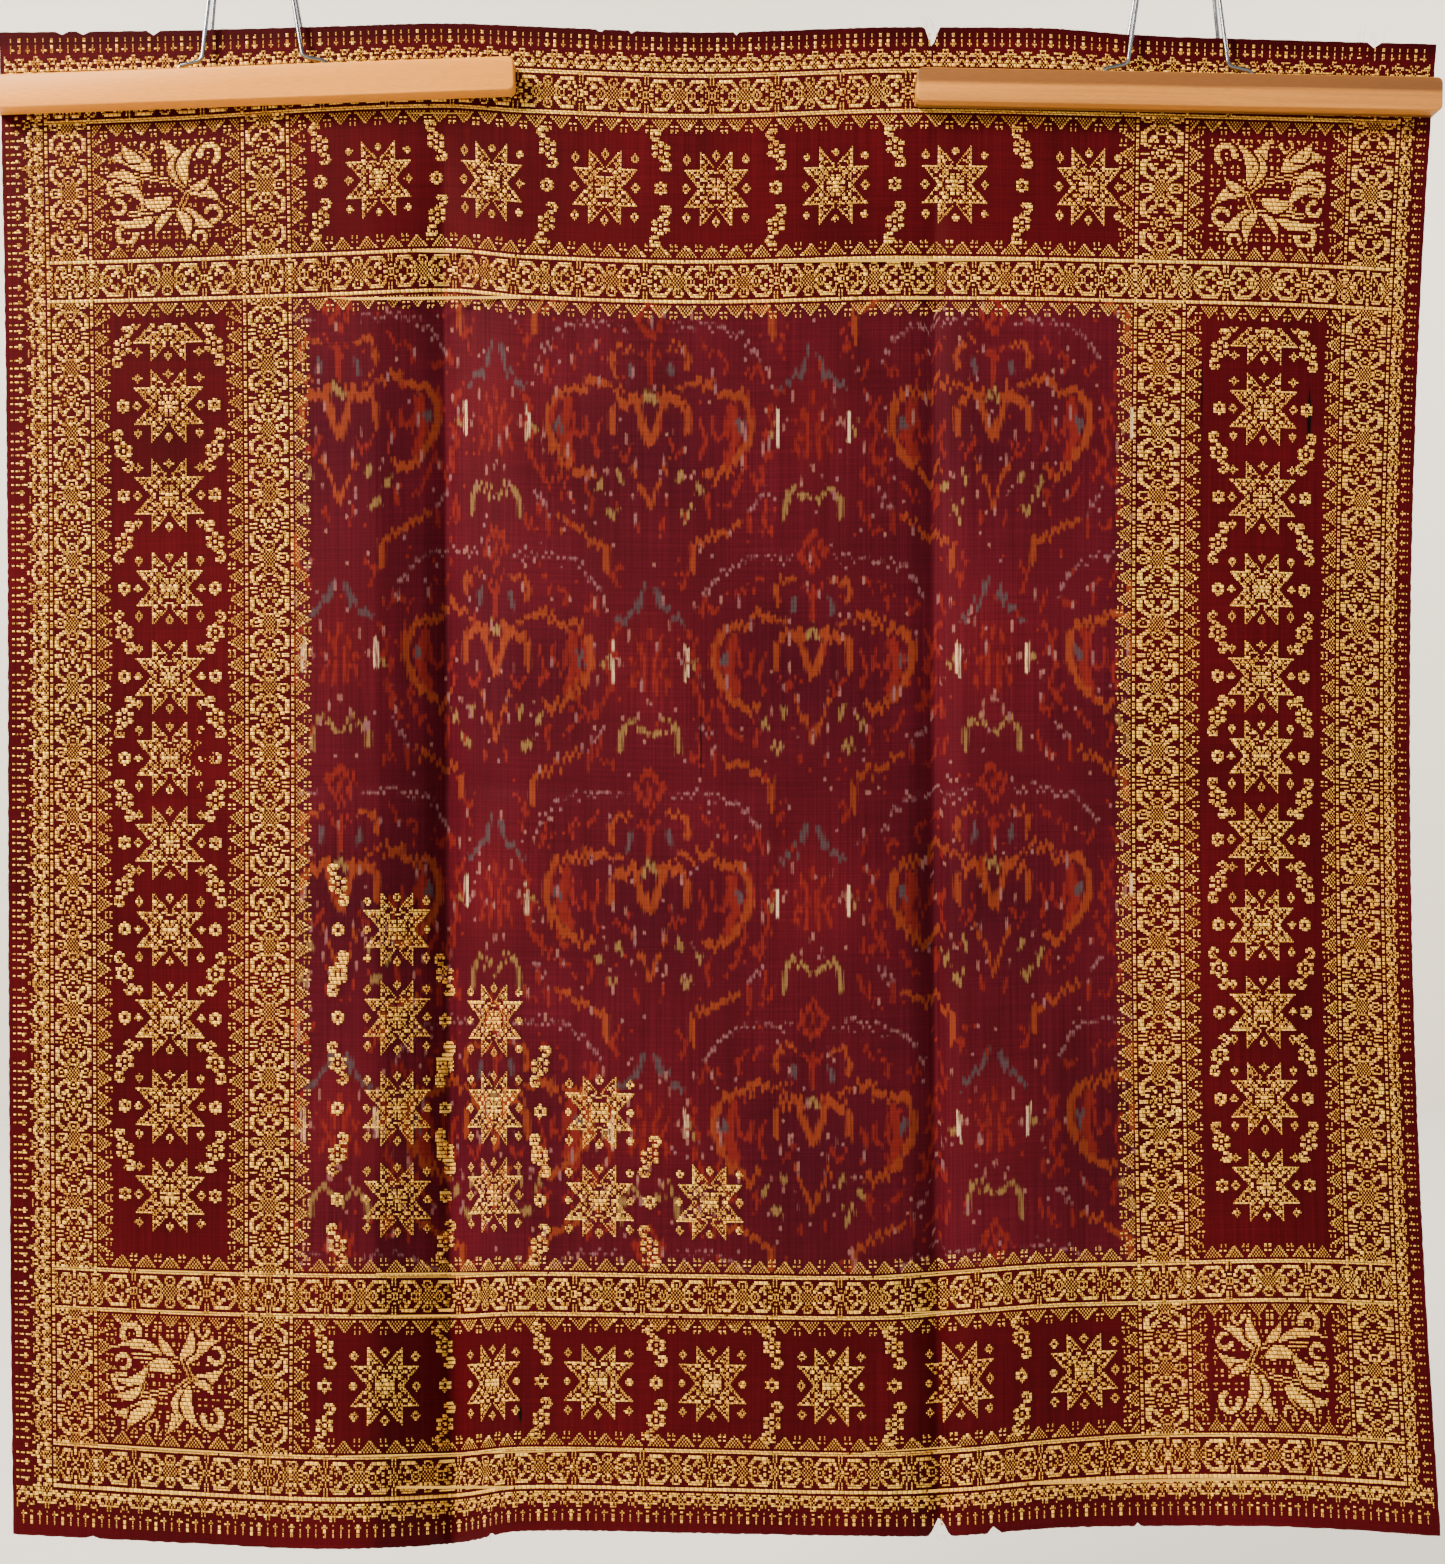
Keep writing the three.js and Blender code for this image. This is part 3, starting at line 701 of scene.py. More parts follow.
# Gold thread: gilt strip wound on a yellow silk core, rubbed brown in places
def gold_material():
    material, tree, shader = new_material("gold_thread")
    tone = add_node(tree, "ShaderNodeAttribute", (), "Fac", attribute_name="tone")
    place = add_node(tree, "ShaderNodeTexCoord", (), "Object")
    patches = [("Vector", place), ("Scale", 22.0), ("Detail", 4.0)]
    rubbed = add_node(tree, "ShaderNodeTexNoise", patches, "Fac")
    share = add_node(tree, "ShaderNodeMapRange", [
        ("Value", rubbed), *NOISE_SPAN, ("To Min", 0.0), ("To Max", 0.8)])
    rough = add_node(tree, "ShaderNodeMapRange", [
        ("Value", rubbed), *NOISE_SPAN, ("To Min", 0.38), ("To Max", 0.54)])
    gilt = add_node(tree, "ShaderNodeMix", [
        (0, share), (6, colour("#ffcb4c")), (7, colour("#f0a838"))], 2, data_type="RGBA")
    toned = add_node(tree, "ShaderNodeVectorMath", [(0, gilt), ("Scale", tone)], operation="SCALE")
    winding = [("Vector", place), ("Scale", 1900.0), ("Detail", 1.0)]
    wound = add_node(tree, "ShaderNodeTexNoise", winding, "Fac")
    bump = add_node(tree, "ShaderNodeBump", [("Height", wound), ("Strength", 0.5), ("Distance", 0.15 * MM)])
    set_inputs(tree, shader, [
        ("Base Color", toned),
        ("Metallic", 0.3),
        ("Roughness", rough),
        ("Normal", bump),
    ])
    return material


# Steamed beech under clear varnish: long grain with short dark flecks, and a darker band on two-tone slats
BAND_EDGE = 3.0


def beech_material(name, pale, dark, band):
    material, tree, shader = new_material(name)
    grain_map = add_node(tree, "ShaderNodeUVMap", (), "UV", uv_map="grain")
    long_grain = streaks(tree, grain_map, 9, 420, 5.0)
    flecks = streaks(tree, grain_map, 160, 2400, 2.0)
    drift = streaks(tree, grain_map, 3, 60, 3.0)
    height = add_node(tree, "ShaderNodeSeparateXYZ", [("Vector", grain_map)], "Y")
    edge = add_node(tree, "ShaderNodeMapRange", [
        ("Value", height), ("From Min", 0.0), ("From Max", BAND_EDGE * MM),
        ("To Min", 0.0), ("To Max", band)])
    share = add_node(tree, "ShaderNodeMath", [
        (0, long_grain), (1, 0.7), (2, edge)], operation="MULTIPLY_ADD", use_clamp=True)
    wood = add_node(tree, "ShaderNodeMix", [
        (0, share), (6, colour(pale)), (7, colour(dark))], 2, data_type="RGBA")
    for noise, darkest in ((flecks, 0.86), (drift, 0.9)):
        factor = add_node(tree, "ShaderNodeMapRange", [
            ("Value", noise), *NOISE_SPAN, ("To Min", darkest), ("To Max", 1.1)])
        wood = add_node(tree, "ShaderNodeVectorMath", [(0, wood), ("Scale", factor)], operation="SCALE")
    rough = add_node(tree, "ShaderNodeMapRange", [
        ("Value", flecks), *NOISE_SPAN, ("To Min", 0.36), ("To Max", 0.5)])
    bump = add_node(tree, "ShaderNodeBump", [("Height", flecks), ("Strength", 0.2), ("Distance", 0.1 * MM)])
    set_inputs(tree, shader, [
        ("Base Color", wood),
        ("Roughness", rough),
        ("Specular IOR Level", 0.2),
        ("Normal", bump),
    ])
    return material


# Bright plated steel wire, dulled in patches
def wire_material():
    material, tree, shader = new_material("plated_wire")
    place = add_node(tree, "ShaderNodeTexCoord", (), "Object")
    dull = add_node(tree, "ShaderNodeTexNoise", [("Vector", place), ("Scale", 160.0), ("Detail", 3.0)], "Fac")
    rough = add_node(tree, "ShaderNodeMapRange", [
        ("Value", dull), *NOISE_SPAN, ("To Min", 0.14), ("To Max", 0.32)])
    set_inputs(tree, shader, [("Base Color", colour("#85878a")), ("Metallic", 1.0), ("Roughness", rough)])
    return material


# Loose silk ends at the cut edges, from red to bleached
def thread_material():
    material, tree, shader = new_material("loose_silk")
    place = add_node(tree, "ShaderNodeTexCoord", (), "Object")
    mottle = add_node(tree, "ShaderNodeTexNoise", [("Vector", place), ("Scale", 90.0)], "Fac")
    share = add_node(tree, "ShaderNodeMapRange", [
        ("Value", mottle), *NOISE_SPAN, ("To Min", 0.0), ("To Max", 1.0)])
    bleached = add_node(tree, "ShaderNodeMix", [
        (0, share), (6, colour("#6a1a26")), (7, colour("#c4a898"))], 2, data_type="RGBA")
    set_inputs(tree, shader, [("Base Color", bleached), ("Roughness", 0.7), ("Sheen Weight", 0.3)])
    return material


# The near black, dull shade that shows in a slit
def dark_material():
    material, tree, shader = new_material("slit_shadow")
    shade = colour("#0c0405")
    set_inputs(tree, shader, [("Base Color", shade), ("Roughness", 0.95), ("Specular IOR Level", 0.05)])
    return material


# Dyeing of the cloth: a plain red border and an ikat field, with painted shade among the gold picks

GROUND = np.array(linear("#3f060b"))
IKAT_GROUND = np.array(linear("#430d16"))
IKAT_SHADE = np.array(linear("#360914"))
IKAT_GLOW = np.array(linear("#511117"))
ORANGE = linear("#743018")
RED = linear("#681d16")
MAUVE = linear("#744c4e")
GREY = linear("#413639")
OCHRE = linear("#785c34")
PEACH = linear("#d9b58d")
PINK = linear("#80524c")

FIELD_LEFT, FIELD_RIGHT = (across_of(column) for column in FIELD_COLUMNS)
FIELD_TOP, FIELD_LOW = (down_of(row) for row in FIELD_ROWS)
IKAT_COLUMNS = (-328, -230, -131, -37.5, 60, 167, 274)
IKAT_ROWS = (92, 232, 372, 514, 652, 790)
IKAT_REACH_ACROSS, IKAT_REACH_DOWN = 82, 104

# Dyed strokes, mirrored to both sides: colour, half width, then the places the stroke runs through
IKAT_SPEAR = (
    (RED, 3.0, (48, -7), (51, 12), (46, 24)),
    (ORANGE, 2.3, (38, -16), (53, -14), (59, -5), (60, 7), (56, 18), (48, 29), (38, 36), (33, 32)),
    (ORANGE, 2.6, (36, -22), (27, -20)),
    (ORANGE, 1.5, (27, -20), (16, -18)),
    (ORANGE, 3.2, (18, -9), (7, -12)),
    (ORANGE, 2.1, (8, -8), (0.5, 15)),
    (ORANGE, 2.0, (22, -4), (22, 10)),
    (RED, 1.3, (45, 0), (45, 9), (41, 13), (37, 9), (37, 0)),
    (GREY, 3.7, (52.5, 4.4), (52.5, 5.6)),
    (ORANGE, 1.1, (11, 28), (4, 42), (0, 55)),
    (OCHRE, 1.7, (30, 41), (28, 45)),
    (OCHRE, 1.7, (18, 34), (17, 38)),
    (OCHRE, 1.5, (24, 54), (21, 59), (19, 55)),
    (OCHRE, 1.4, (1, -14), (3, -9)),
    (GREY, 1.6, (11, -32), (12, -25)),
    (RED, 1.4, (0, -40), (0, -20)),
    (RED, 1.1, (1, -34), (6, -41)),
    (ORANGE, 1.6, (11, -43), (19, -43), (23, -36), (21, -29)),
    (RED, 1.6, (0, -71), (8.5, -60), (0, -49.5)),
    (RED, 1.6, (0, -62), (0, -58)),
    (MAUVE, 0.9, (13, -55), (33, -57), (50, -52), (58, -45), (66, -34)),
    (ORANGE, 1.9, (53, 63), (40, 69), (25, 78), (25, 92)),
    (MAUVE, 0.8, (68, 44), (59, 57)),
    (RED, 1.3, (36, 44), (33, 48), (35, 57)),
    (RED, 1.2, (8, 60), (7, 66)),
    (RED, 1.3, (73, 61), (72, 67), (66, 67)),
    (RED, 1.3, (59, 60), (59, 70)),
    (RED, 1.3, (56, -28), (60, -24), (63, -30)),
    (RED, 1.2, (29, 2), (33, 14), (29, 24)),
    (RED, 1.3, (68, 8), (72, 20), (66, 32)),
    (RED, 1.2, (44, 52), (50, 46), (54, 38)),
    (RED, 1.2, (11, 16), (15, 24), (20, 18)),
    (RED, 1.2, (76, -14), (70, -4), (75, 6)),
    (RED, 1.1, (40, -40), (46, -34), (44, -27)),
    (RED, 1.1, (30, -46), (36, -38)),
    (PINK, 0.5, (9, 24), (8, 31)),
    (PINK, 0.5, (14, 8), (14, 14)),
    (PINK, 0.5, (26, 30), (24, 37)),
    (PINK, 0.5, (10, 44), (9, 50)),
)
IKAT_TREE = (
    (PEACH, 0.9, (21.5, -4), (21.5, 15)),
    (PINK, 1.5, (17, 4.4), (17, 5.8)),
    (OCHRE, 1.8, (25, 7), (26, 8)),
    (GREY, 1.6, (3.5, -38), (7, -27), (19, -17)),
    (RED, 1.3, (0, -14), (0, -8)),
    (RED, 1.3, (7, -8), (4, 0)),
    (RED, 1.3, (3, 2), (3, 9)),
    (RED, 1.3, (11, 4), (6, 11)),
    (RED, 1.3, (9, 14), (11, 22)),
    (RED, 1.3, (3, 13), (4, 24)),
    (PINK, 1.3, (0, 29), (0, 31)),
    (OCHRE, 1.4, (17, 61), (16.5, 50), (12, 43), (8, 44), (2, 50)),
    (RED, 1.3, (31, 30), (30, 37), (34, 41), (37, 34)),
    (RED, 1.2, (33, -32), (30, -22)),
    (RED, 1.2, (28, 52), (30, 62)),
    (RED, 1.2, (16, -52), (22, -45), (18, -37)),
    (RED, 1.2, (40, -12), (36, -1), (41, 10)),
    (RED, 1.2, (44, 20), (40, 29), (46, 38)),
    (PINK, 0.5, (12, -14), (12, -7)),
    (PINK, 0.5, (30, 14), (31, 22)),
    (PINK, 0.5, (6, 34), (7, 40)),
    (PINK, 0.5, (26, -30), (27, -23)),
)
FEATHER = 4.0
SPECKS = 900
END_SLIP, DRIFT_SLIP, DRIFT_ROWS = 1.3, 1.8, 9
BARE = -0.7
# Tints of the ground round each motif: colour, strength, fullness, half sizes across and down, drop
SPEAR_TINT = (IKAT_SHADE, 0.65, 1.2, 60, 50, 14)
TREE_TINT = (IKAT_GLOW, 0.6, 1.1, 38, 52, 0)
MOTTLE, MOTTLE_STEP = 0.10, 12
# Painted shade among the gold picks: how much the silk darkens where gold crowds round it
PAINTED_SHADE_AMONG_GOLD = 0.4
TOP_EDGE, TOP_SHADE = 6, 0.6


def blend(dye, amount, paint):
    dye += amount[..., None] * (np.array(paint) - dye)


def far_from(x, y, points):
    """Distance from a stroke through several places."""
    return np.minimum.reduce([to_segment(x, y, *a, *b) for a, b in zip(points, points[1:])])


def close_to(places, middle, reach):
    return slice(*np.searchsorted(places, (middle - reach, middle + reach)))


def is_spear(row, column):
    return (row + column) % 2 == 0


def ikat(across, down):
    """Paint of the field's motifs, and how deep inside a stroke each point is (a half at its edge)."""
    tall, wide = down.size, across.size
    slip = chance.normal(0, END_SLIP, (1, wide)) + DRIFT_SLIP * coarse_noise(tall, wide, DRIFT_ROWS, 1)
    paint = np.tile(IKAT_GROUND, (tall, wide, 1))
    depth = np.full((tall, wide), BARE)
    for row, row_down in enumerate(IKAT_ROWS):
        for column, column_across in enumerate(IKAT_COLUMNS):
            rows = close_to(down, row_down, IKAT_REACH_DOWN)
            columns = close_to(across, column_across, IKAT_REACH_ACROSS)
            x = np.abs(across[columns] - column_across)[None, :]
            y = down[rows][:, None] - row_down + slip[rows, columns]
            for dye, half, *points in IKAT_SPEAR if is_spear(row, column) else IKAT_TREE:
                inward = 0.5 + (half - far_from(x, y, points)) / min(FEATHER, 1 + 2 * half)
                stronger = inward > depth[rows, columns]
                paint[rows, columns][stronger] = dye
                depth[rows, columns][stronger] = inward[stronger]
    for number in range(SPECKS):
        row, column = chance.randint(1, tall - 1), chance.randint(wide)
        paint[row - 1:row + 2, column] = (PINK, MAUVE, RED)[number % 3]
        depth[row, column] = chance.uniform(0.7, 1.0)
    return paint, np.clip(depth, 0, 1)


def coarse_noise(tall, wide, step_down, step_across):
    """Smooth random numbers about 0 on a grid, one every few rows and columns."""
    rows = np.arange(tall) / step_down
    columns = np.arange(wide) / step_across
    knots = chance.normal(0, 1, (int(rows[-1]) + 2, int(columns[-1]) + 2))
    r, c = rows.astype(int), columns.astype(int)
    fr, fc = (rows - r)[:, None], (columns - c)[None, :]
    low = knots[np.ix_(r, c)] * (1 - fc) + knots[np.ix_(r, c + 1)] * fc
    high = knots[np.ix_(r + 1, c)] * (1 - fc) + knots[np.ix_(r + 1, c + 1)] * fc
    return low * (1 - fr) + high * fr


CROWD_COLUMNS, CROWD_ROWS = 4, 3


def crowding(across, down):
    """Share of gold round each point, over a block of a few cells."""
    total = np.pad(np.cumsum(np.cumsum(gold, axis=0), axis=1), ((1, 0), (1, 0)))
    column, row = (across - CLOTH_LEFT) / CELL_WIDE, down / CELL_TALL
    left, right = (np.clip(column + s * CROWD_COLUMNS, 0, COLUMNS).astype(int) for s in (-1, 1))
    top, low = (np.clip(row + s * CROWD_ROWS, 0, ROWS).astype(int) for s in (-1, 1))
    inside = total[np.ix_(low, right)] - total[np.ix_(low, left)]
    inside = inside - total[np.ix_(top, right)] + total[np.ix_(top, left)]
    return inside / ((low - top)[:, None] * (right - left)[None, :])


def in_field(across, down):
    columns = (across > FIELD_LEFT) & (across < FIELD_RIGHT)
    rows = (down > FIELD_TOP) & (down < FIELD_LOW)
    return rows[:, None] & columns[None, :]


def ground_of(across, down):
    """Colour of the bare silk at the points of a grid: its dye, deeper round the spears, and painted shade
    between gold picks.
    """
    noise = coarse_noise(down.size, across.size, MOTTLE_STEP, MOTTLE_STEP)
    mottle = np.clip(1 + MOTTLE * noise, 0.7, 1.3)[..., None]
    ground = GROUND * mottle
    field = in_field(across, down)
    ground[field] = (IKAT_GROUND * mottle)[field]
    for row, row_down in enumerate(IKAT_ROWS):
        for column, column_across in enumerate(IKAT_COLUMNS):
            x, y = (across - column_across)[None, :], (down - row_down)[:, None]
            dye, strength, full, wide, tall, drop = SPEAR_TINT if is_spear(row, column) else TREE_TINT
            near = np.clip(full - np.hypot(x / wide, (y - drop) / tall), 0, 1)
            blend(ground, field * strength * near, dye)
    # Painted shade: the silk is darkened where gold picks crowd round it, in place of their shadows
    ground *= (1 - PAINTED_SHADE_AMONG_GOLD * crowding(across, down))[..., None]
    ground[down < TOP_EDGE] *= TOP_SHADE
    return ground


def paint_of(across, down):
    """Paint and depth in a stroke for every cell column of the sheet, bare outside the field."""
    paint = np.tile(IKAT_GROUND, (down.size, across.size, 1))
    depth = np.zeros((down.size, across.size))
    rows = close_to(down, (FIELD_TOP + FIELD_LOW) / 2, (FIELD_LOW - FIELD_TOP) / 2)
    columns = close_to(across, (FIELD_LEFT + FIELD_RIGHT) / 2, (FIELD_RIGHT - FIELD_LEFT) / 2)
    paint[rows, columns], depth[rows, columns] = ikat(across[columns], down[rows])
    return paint, depth


# Meshes


def carried(name, mesh, material):
    """The object of a finished mesh, riding on the part."""
    mesh.shade_smooth()
    mesh.materials.clear()
    mesh.materials.append(material)
    piece = bpy.data.objects.new(name, mesh)
    bpy.context.scene.collection.objects.link(piece)
    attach(piece, "root")
    return piece


def new_piece(name, points, faces, material):
    """A mesh piece in metres that rides on the part; faces is an array of corners, all of one count."""
    mesh = bpy.data.meshes.new(name)
    points = np.asarray(points, np.float32)
    faces = np.asarray(faces, np.int32)
    count, corners = faces.shape
    mesh.vertices.add(len(points))
    mesh.vertices.foreach_set("co", points.ravel())
    mesh.loops.add(count * corners)
    mesh.loops.foreach_set("vertex_index", faces.ravel())
    mesh.polygons.add(count)
    mesh.polygons.foreach_set("loop_start", np.arange(count, dtype=np.int32) * corners)
    mesh.update(calc_edges=True)
    return carried(name, mesh, material)


# Tears and nicks of the cut edges: edge, across, width, depth
TEARS = (
    ("top", 130, 9, 13), ("top", -393, 4, 3), ("top", -379, 3, 2.5), ("top", -337, 3, 3),
    ("top", -69, 4, 2.5), ("top", -50, 4, 2.0), ("top", 13, 3, 2.5), ("top", 395, 7, 4),
    ("hem", 132, 11, 12), ("hem", 164, 9, 4), ("hem", -134, 4, 2.5), ("hem", -380, 4, 2), ("hem", 250, 4, 2),
)
FIELD_PITCH_ACROSS, FIELD_PITCH_DOWN = 1.8, 2.8
BORDER_PITCH_ACROSS, BORDER_PITCH_DOWN = 4.2, 5.2


def torn_away(edge, across):
    reach = np.zeros_like(across)
    for side, place, wide, deep in TEARS:
        if side == edge:
            reach = np.maximum(reach, deep * (1 - np.abs(across - place) / (wide / 2)))
    return reach


def stations(ends, field, pitch, field_pitch):
    """Grid places from one edge to the other, closer over the field."""
    marks = (ends[0], *field, ends[1])
    places = [np.array([ends[0]])]
    for low, high, step in zip(marks, marks[1:], (pitch, field_pitch, pitch)):
        count = max(1, round((high - low) / step))
        places.append(np.linspace(low, high, count + 1)[1:])
    return np.concatenate(places)


def at_corners(rows):
    """Values of each cell column at each grid row, laid out for the corners of the sheet's faces."""
    return np.stack([rows[:-1], rows[1:], rows[1:], rows[:-1]], axis=2)


def opaque(colours):
    """Colours as one run of red, green, blue and 1."""
    flat = colours.reshape(-1, 3)
    return np.concatenate([flat, np.ones((len(flat), 1))], axis=1).astype(np.float32).ravel()


def cloth_sheet():
    sides, field_sides = (CLOTH_LEFT, CLOTH_RIGHT), (FIELD_LEFT, FIELD_RIGHT)
    across = stations(sides, field_sides, BORDER_PITCH_ACROSS, FIELD_PITCH_ACROSS)
    down = stations((0.0, CLOTH_DROP), (FIELD_TOP, FIELD_LOW), BORDER_PITCH_DOWN, FIELD_PITCH_DOWN)
    wide, tall = across.size, down.size
    top = torn_away("top", across) + 0.35 * chance.rand(wide)
    bottom = CLOTH_DROP - torn_away("hem", across) - 0.5 * chance.rand(wide)
    grid_down = top[None, :] + (down / CLOTH_DROP)[:, None] * (bottom - top)[None, :]
    grid_across = np.repeat(across[None, :], tall, axis=0)
    grid_across[:, 0] += 0.5 * chance.rand(tall)
    grid_across[:, -1] -= 0.5 * chance.rand(tall)
    points = hang(grid_across, grid_down) * MM
    rows, columns = np.meshgrid(np.arange(tall - 1), np.arange(wide - 1), indexing="ij")
    first = (rows * wide + columns).ravel()
    faces = np.stack([first, first + wide, first + wide + 1, first + 1], axis=1)
    piece = new_piece("songket_sheet", points, faces, silk_material())
    middles = (across[1:] + across[:-1]) / 2
    paint, depth = paint_of(middles, down)
    layers = piece.data.attributes
    # The ground colour holds the dye and the painted shade among the gold picks
    layers.new("ground", "FLOAT_COLOR", "POINT").data.foreach_set("color", opaque(ground_of(across, down)))
    layers.new("paint", "FLOAT_COLOR", "CORNER").data.foreach_set("color", opaque(at_corners(paint)))
    depths = at_corners(depth).astype(np.float32).ravel()
    layers.new("depth", "FLOAT", "CORNER").data.foreach_set("value", depths)
    flat = np.stack([grid_across.ravel(), -grid_down.ravel()], axis=1)[faces.ravel()] * MM
    piece.data.uv_layers.new(name="flat").data.foreach_set("uv", flat.astype(np.float32).ravel())
    return piece


# Gold picks: each float is a small ridge lying on the silk, one pick or a pair of picks thick,
# and long runs are tied down in twill order
BINDING, BINDING_STEP = 3, 2
FLOAT_HALF = np.array((0, 0.46, 0.98))
FLOAT_RIDGE = np.array((0, 0.5, 0.85))
FLOAT_FOOT = 0.06
FLOAT_GAP, FLOAT_TAPER = 0.16, 0.34
FLOAT_WOBBLE = 0.07
FLOAT_FACES = np.array([(0, 4, 5), (0, 5, 1), (4, 3, 2), (4, 2, 5), (0, 3, 4), (1, 5, 2)])
BACK_LAP, BACK_OFF, BACK_SHARE = 0.3, 0.12, 0.8
BACK_FACES = np.array([(0, 2, 1), (0, 3, 2)])


def float_runs(tied):
    """Middle row, picks, first and last column of every run of gold, cut where it is tied down."""
    chart = np.pad(gold, ((0, ROWS % 2), (0, 0)))
    upper, lower = chart[0::2], chart[1::2]
    pair, column = np.indices(upper.shape)
    order = column + BINDING_STEP * pair
    runs = []
    for woven, picks, middle in ((upper & lower, 2, 1.0), (upper & ~lower, 1, 0.5), (lower & ~upper, 1, 1.5)):
        before = np.pad(woven, ((0, 0), (1, 0)))[:, :-1]
        after = np.pad(woven, ((0, 0), (0, 1)))[:, 1:]
        starts = woven & (~before | (tied & (order % BINDING == 0)))
        ends = woven & (~after | (tied & ((order + 1) % BINDING == 0)))
        row, first = np.where(starts)
        runs.append((2 * row + middle, np.full(row.size, picks), first, np.where(ends)[1] + 1))
    return [np.concatenate(values) for values in zip(*runs)]


def gold_floats(name, row, picks, first, last, material):
    left = across_of(first) + FLOAT_GAP
    right = across_of(last) - FLOAT_GAP
    middle = down_of(row) + chance.uniform(-FLOAT_WOBBLE, FLOAT_WOBBLE, row.size)
    half = FLOAT_HALF[picks] * chance.uniform(0.88, 1.0, row.size)
    out = facing((left + right) / 2, middle)
    height = (FLOAT_RIDGE[picks] * chance.uniform(0.8, 1.0, row.size))[:, None]
    points = np.empty((row.size, 6, 3))
    for k, (edge, side) in enumerate(((left, -1), (right, -1), (right, 1), (left, 1))):
        points[:, k] = hang(edge, middle + side * half) + out * FLOAT_FOOT
    points[:, 4] = hang(left + FLOAT_TAPER, middle) + out * height
    points[:, 5] = hang(right - FLOAT_TAPER, middle) + out * height
    faces = (np.arange(row.size)[:, None, None] * 6 + FLOAT_FACES[None]).reshape(-1, 3)
    piece = new_piece(name, points.reshape(-1, 3) * MM, faces, material)
    tone = np.repeat(chance.normal(1.0, 0.16, row.size), 6).astype(np.float32)
    piece.data.attributes.new("tone", "FLOAT", "POINT").data.foreach_set("value", tone)
    return piece


def gold_back(name, row, picks, first, last, material):
    """The same picks where they show, flat, on the back of the cloth."""
    left, right = across_of(first - BACK_LAP), across_of(last + BACK_LAP)
    middle = down_of(row)
    out = facing((left + right) / 2, middle) * -BACK_OFF
    points = np.empty((row.size, 4, 3))
    for k, (edge, side) in enumerate(((left, 1), (right, 1), (right, -1), (left, -1))):
        points[:, k] = hang(edge, middle + side * FLOAT_HALF[picks] * BACK_SHARE) + out
    faces = (np.arange(row.size)[:, None, None] * 4 + BACK_FACES[None]).reshape(-1, 3)
    piece = new_piece(name, points.reshape(-1, 3) * MM, faces, material)
    tone = np.repeat(chance.normal(0.72, 0.14, row.size), 4).astype(np.float32)
    piece.data.attributes.new("tone", "FLOAT", "POINT").data.foreach_set("value", tone)
    return piece


def zones_of(row, picks, first, last):
    """Which runs lie in each border and which in the field."""
    top, low = FIELD_ROWS
    level = (row >= top) & (row < low)
    zones = {
        "top_border": row < top,
        "hem_border": row >= low,
        "left_border": level & (last <= FIELD_COLUMNS[0] + FIELD_EDGE_COLUMNS),
        "right_border": level & (first >= FIELD_COLUMNS[1] - FIELD_EDGE_COLUMNS),
    }
    zones["field"] = ~np.logical_or.reduce(list(zones.values()))
    return zones


def weave_gold():
    material = gold_material()
    pieces = []
    for label, make, tied in (("gold", gold_floats, True), ("gold_back", gold_back, False)):
        runs = float_runs(tied)
        for name, inside in zones_of(*runs).items():
            pieces.append(make(f"{label}_{name}", *(values[inside] for values in runs), material))
    return pieces


# Slits where the weft has parted, drawn as dark lenses of painted shadow on the cloth: across, from, to, half
# width
SLITS = ((363, 211, 252, 1.2), (295.5, 196, 238, 0.45), (-112.5, 826, 836, 1.0), (-7.5, 404, 450, 0.3))
SLIT_STEPS = 12
SLIT_OUT = 0.12


def slit_shadows():
    t = np.arange(SLIT_STEPS + 1) / SLIT_STEPS
    points, faces = [], []
    for number, (across, top, low, half) in enumerate(SLITS):
        down = top + (low - top) * t
        for side in (-1, 1):
            edge = across + side * half * np.sin(math.pi * t)
            points.append(hang(edge, down) + facing(edge, down) * SLIT_OUT)
        left = number * 2 * t.size
        for k in range(left, left + SLIT_STEPS):
            faces.append((k, k + 1, k + 1 + t.size, k + t.size))
    # Painted shadow: near black lenses laid just in front of the cloth where shade shows through a slit
    return new_piece("slit_shadows", np.concatenate(points) * MM, faces, dark_material())


# Loose ends along the cut edges: edge, from, to, how many, how long
FRAYS = (
    ("left", 10, 890, 150, 2.6), ("right", 40, 890, 60, 2.0),
    ("top", -428, 431, 70, 2.4), ("hem", -428, 431, 90, 2.0),
    ("top", 380, 404, 8, 12), ("top", 126, 134, 4, 9), ("hem", 128, 138, 4, 6), ("hem", -136, -131, 2, 7),
)
FRAY_RADIUS = 0.11
FRAY_KNOTS = 4
FRAY_INSET = 0.8
FRAY_TURNS = (0, 2.1, 4.2)


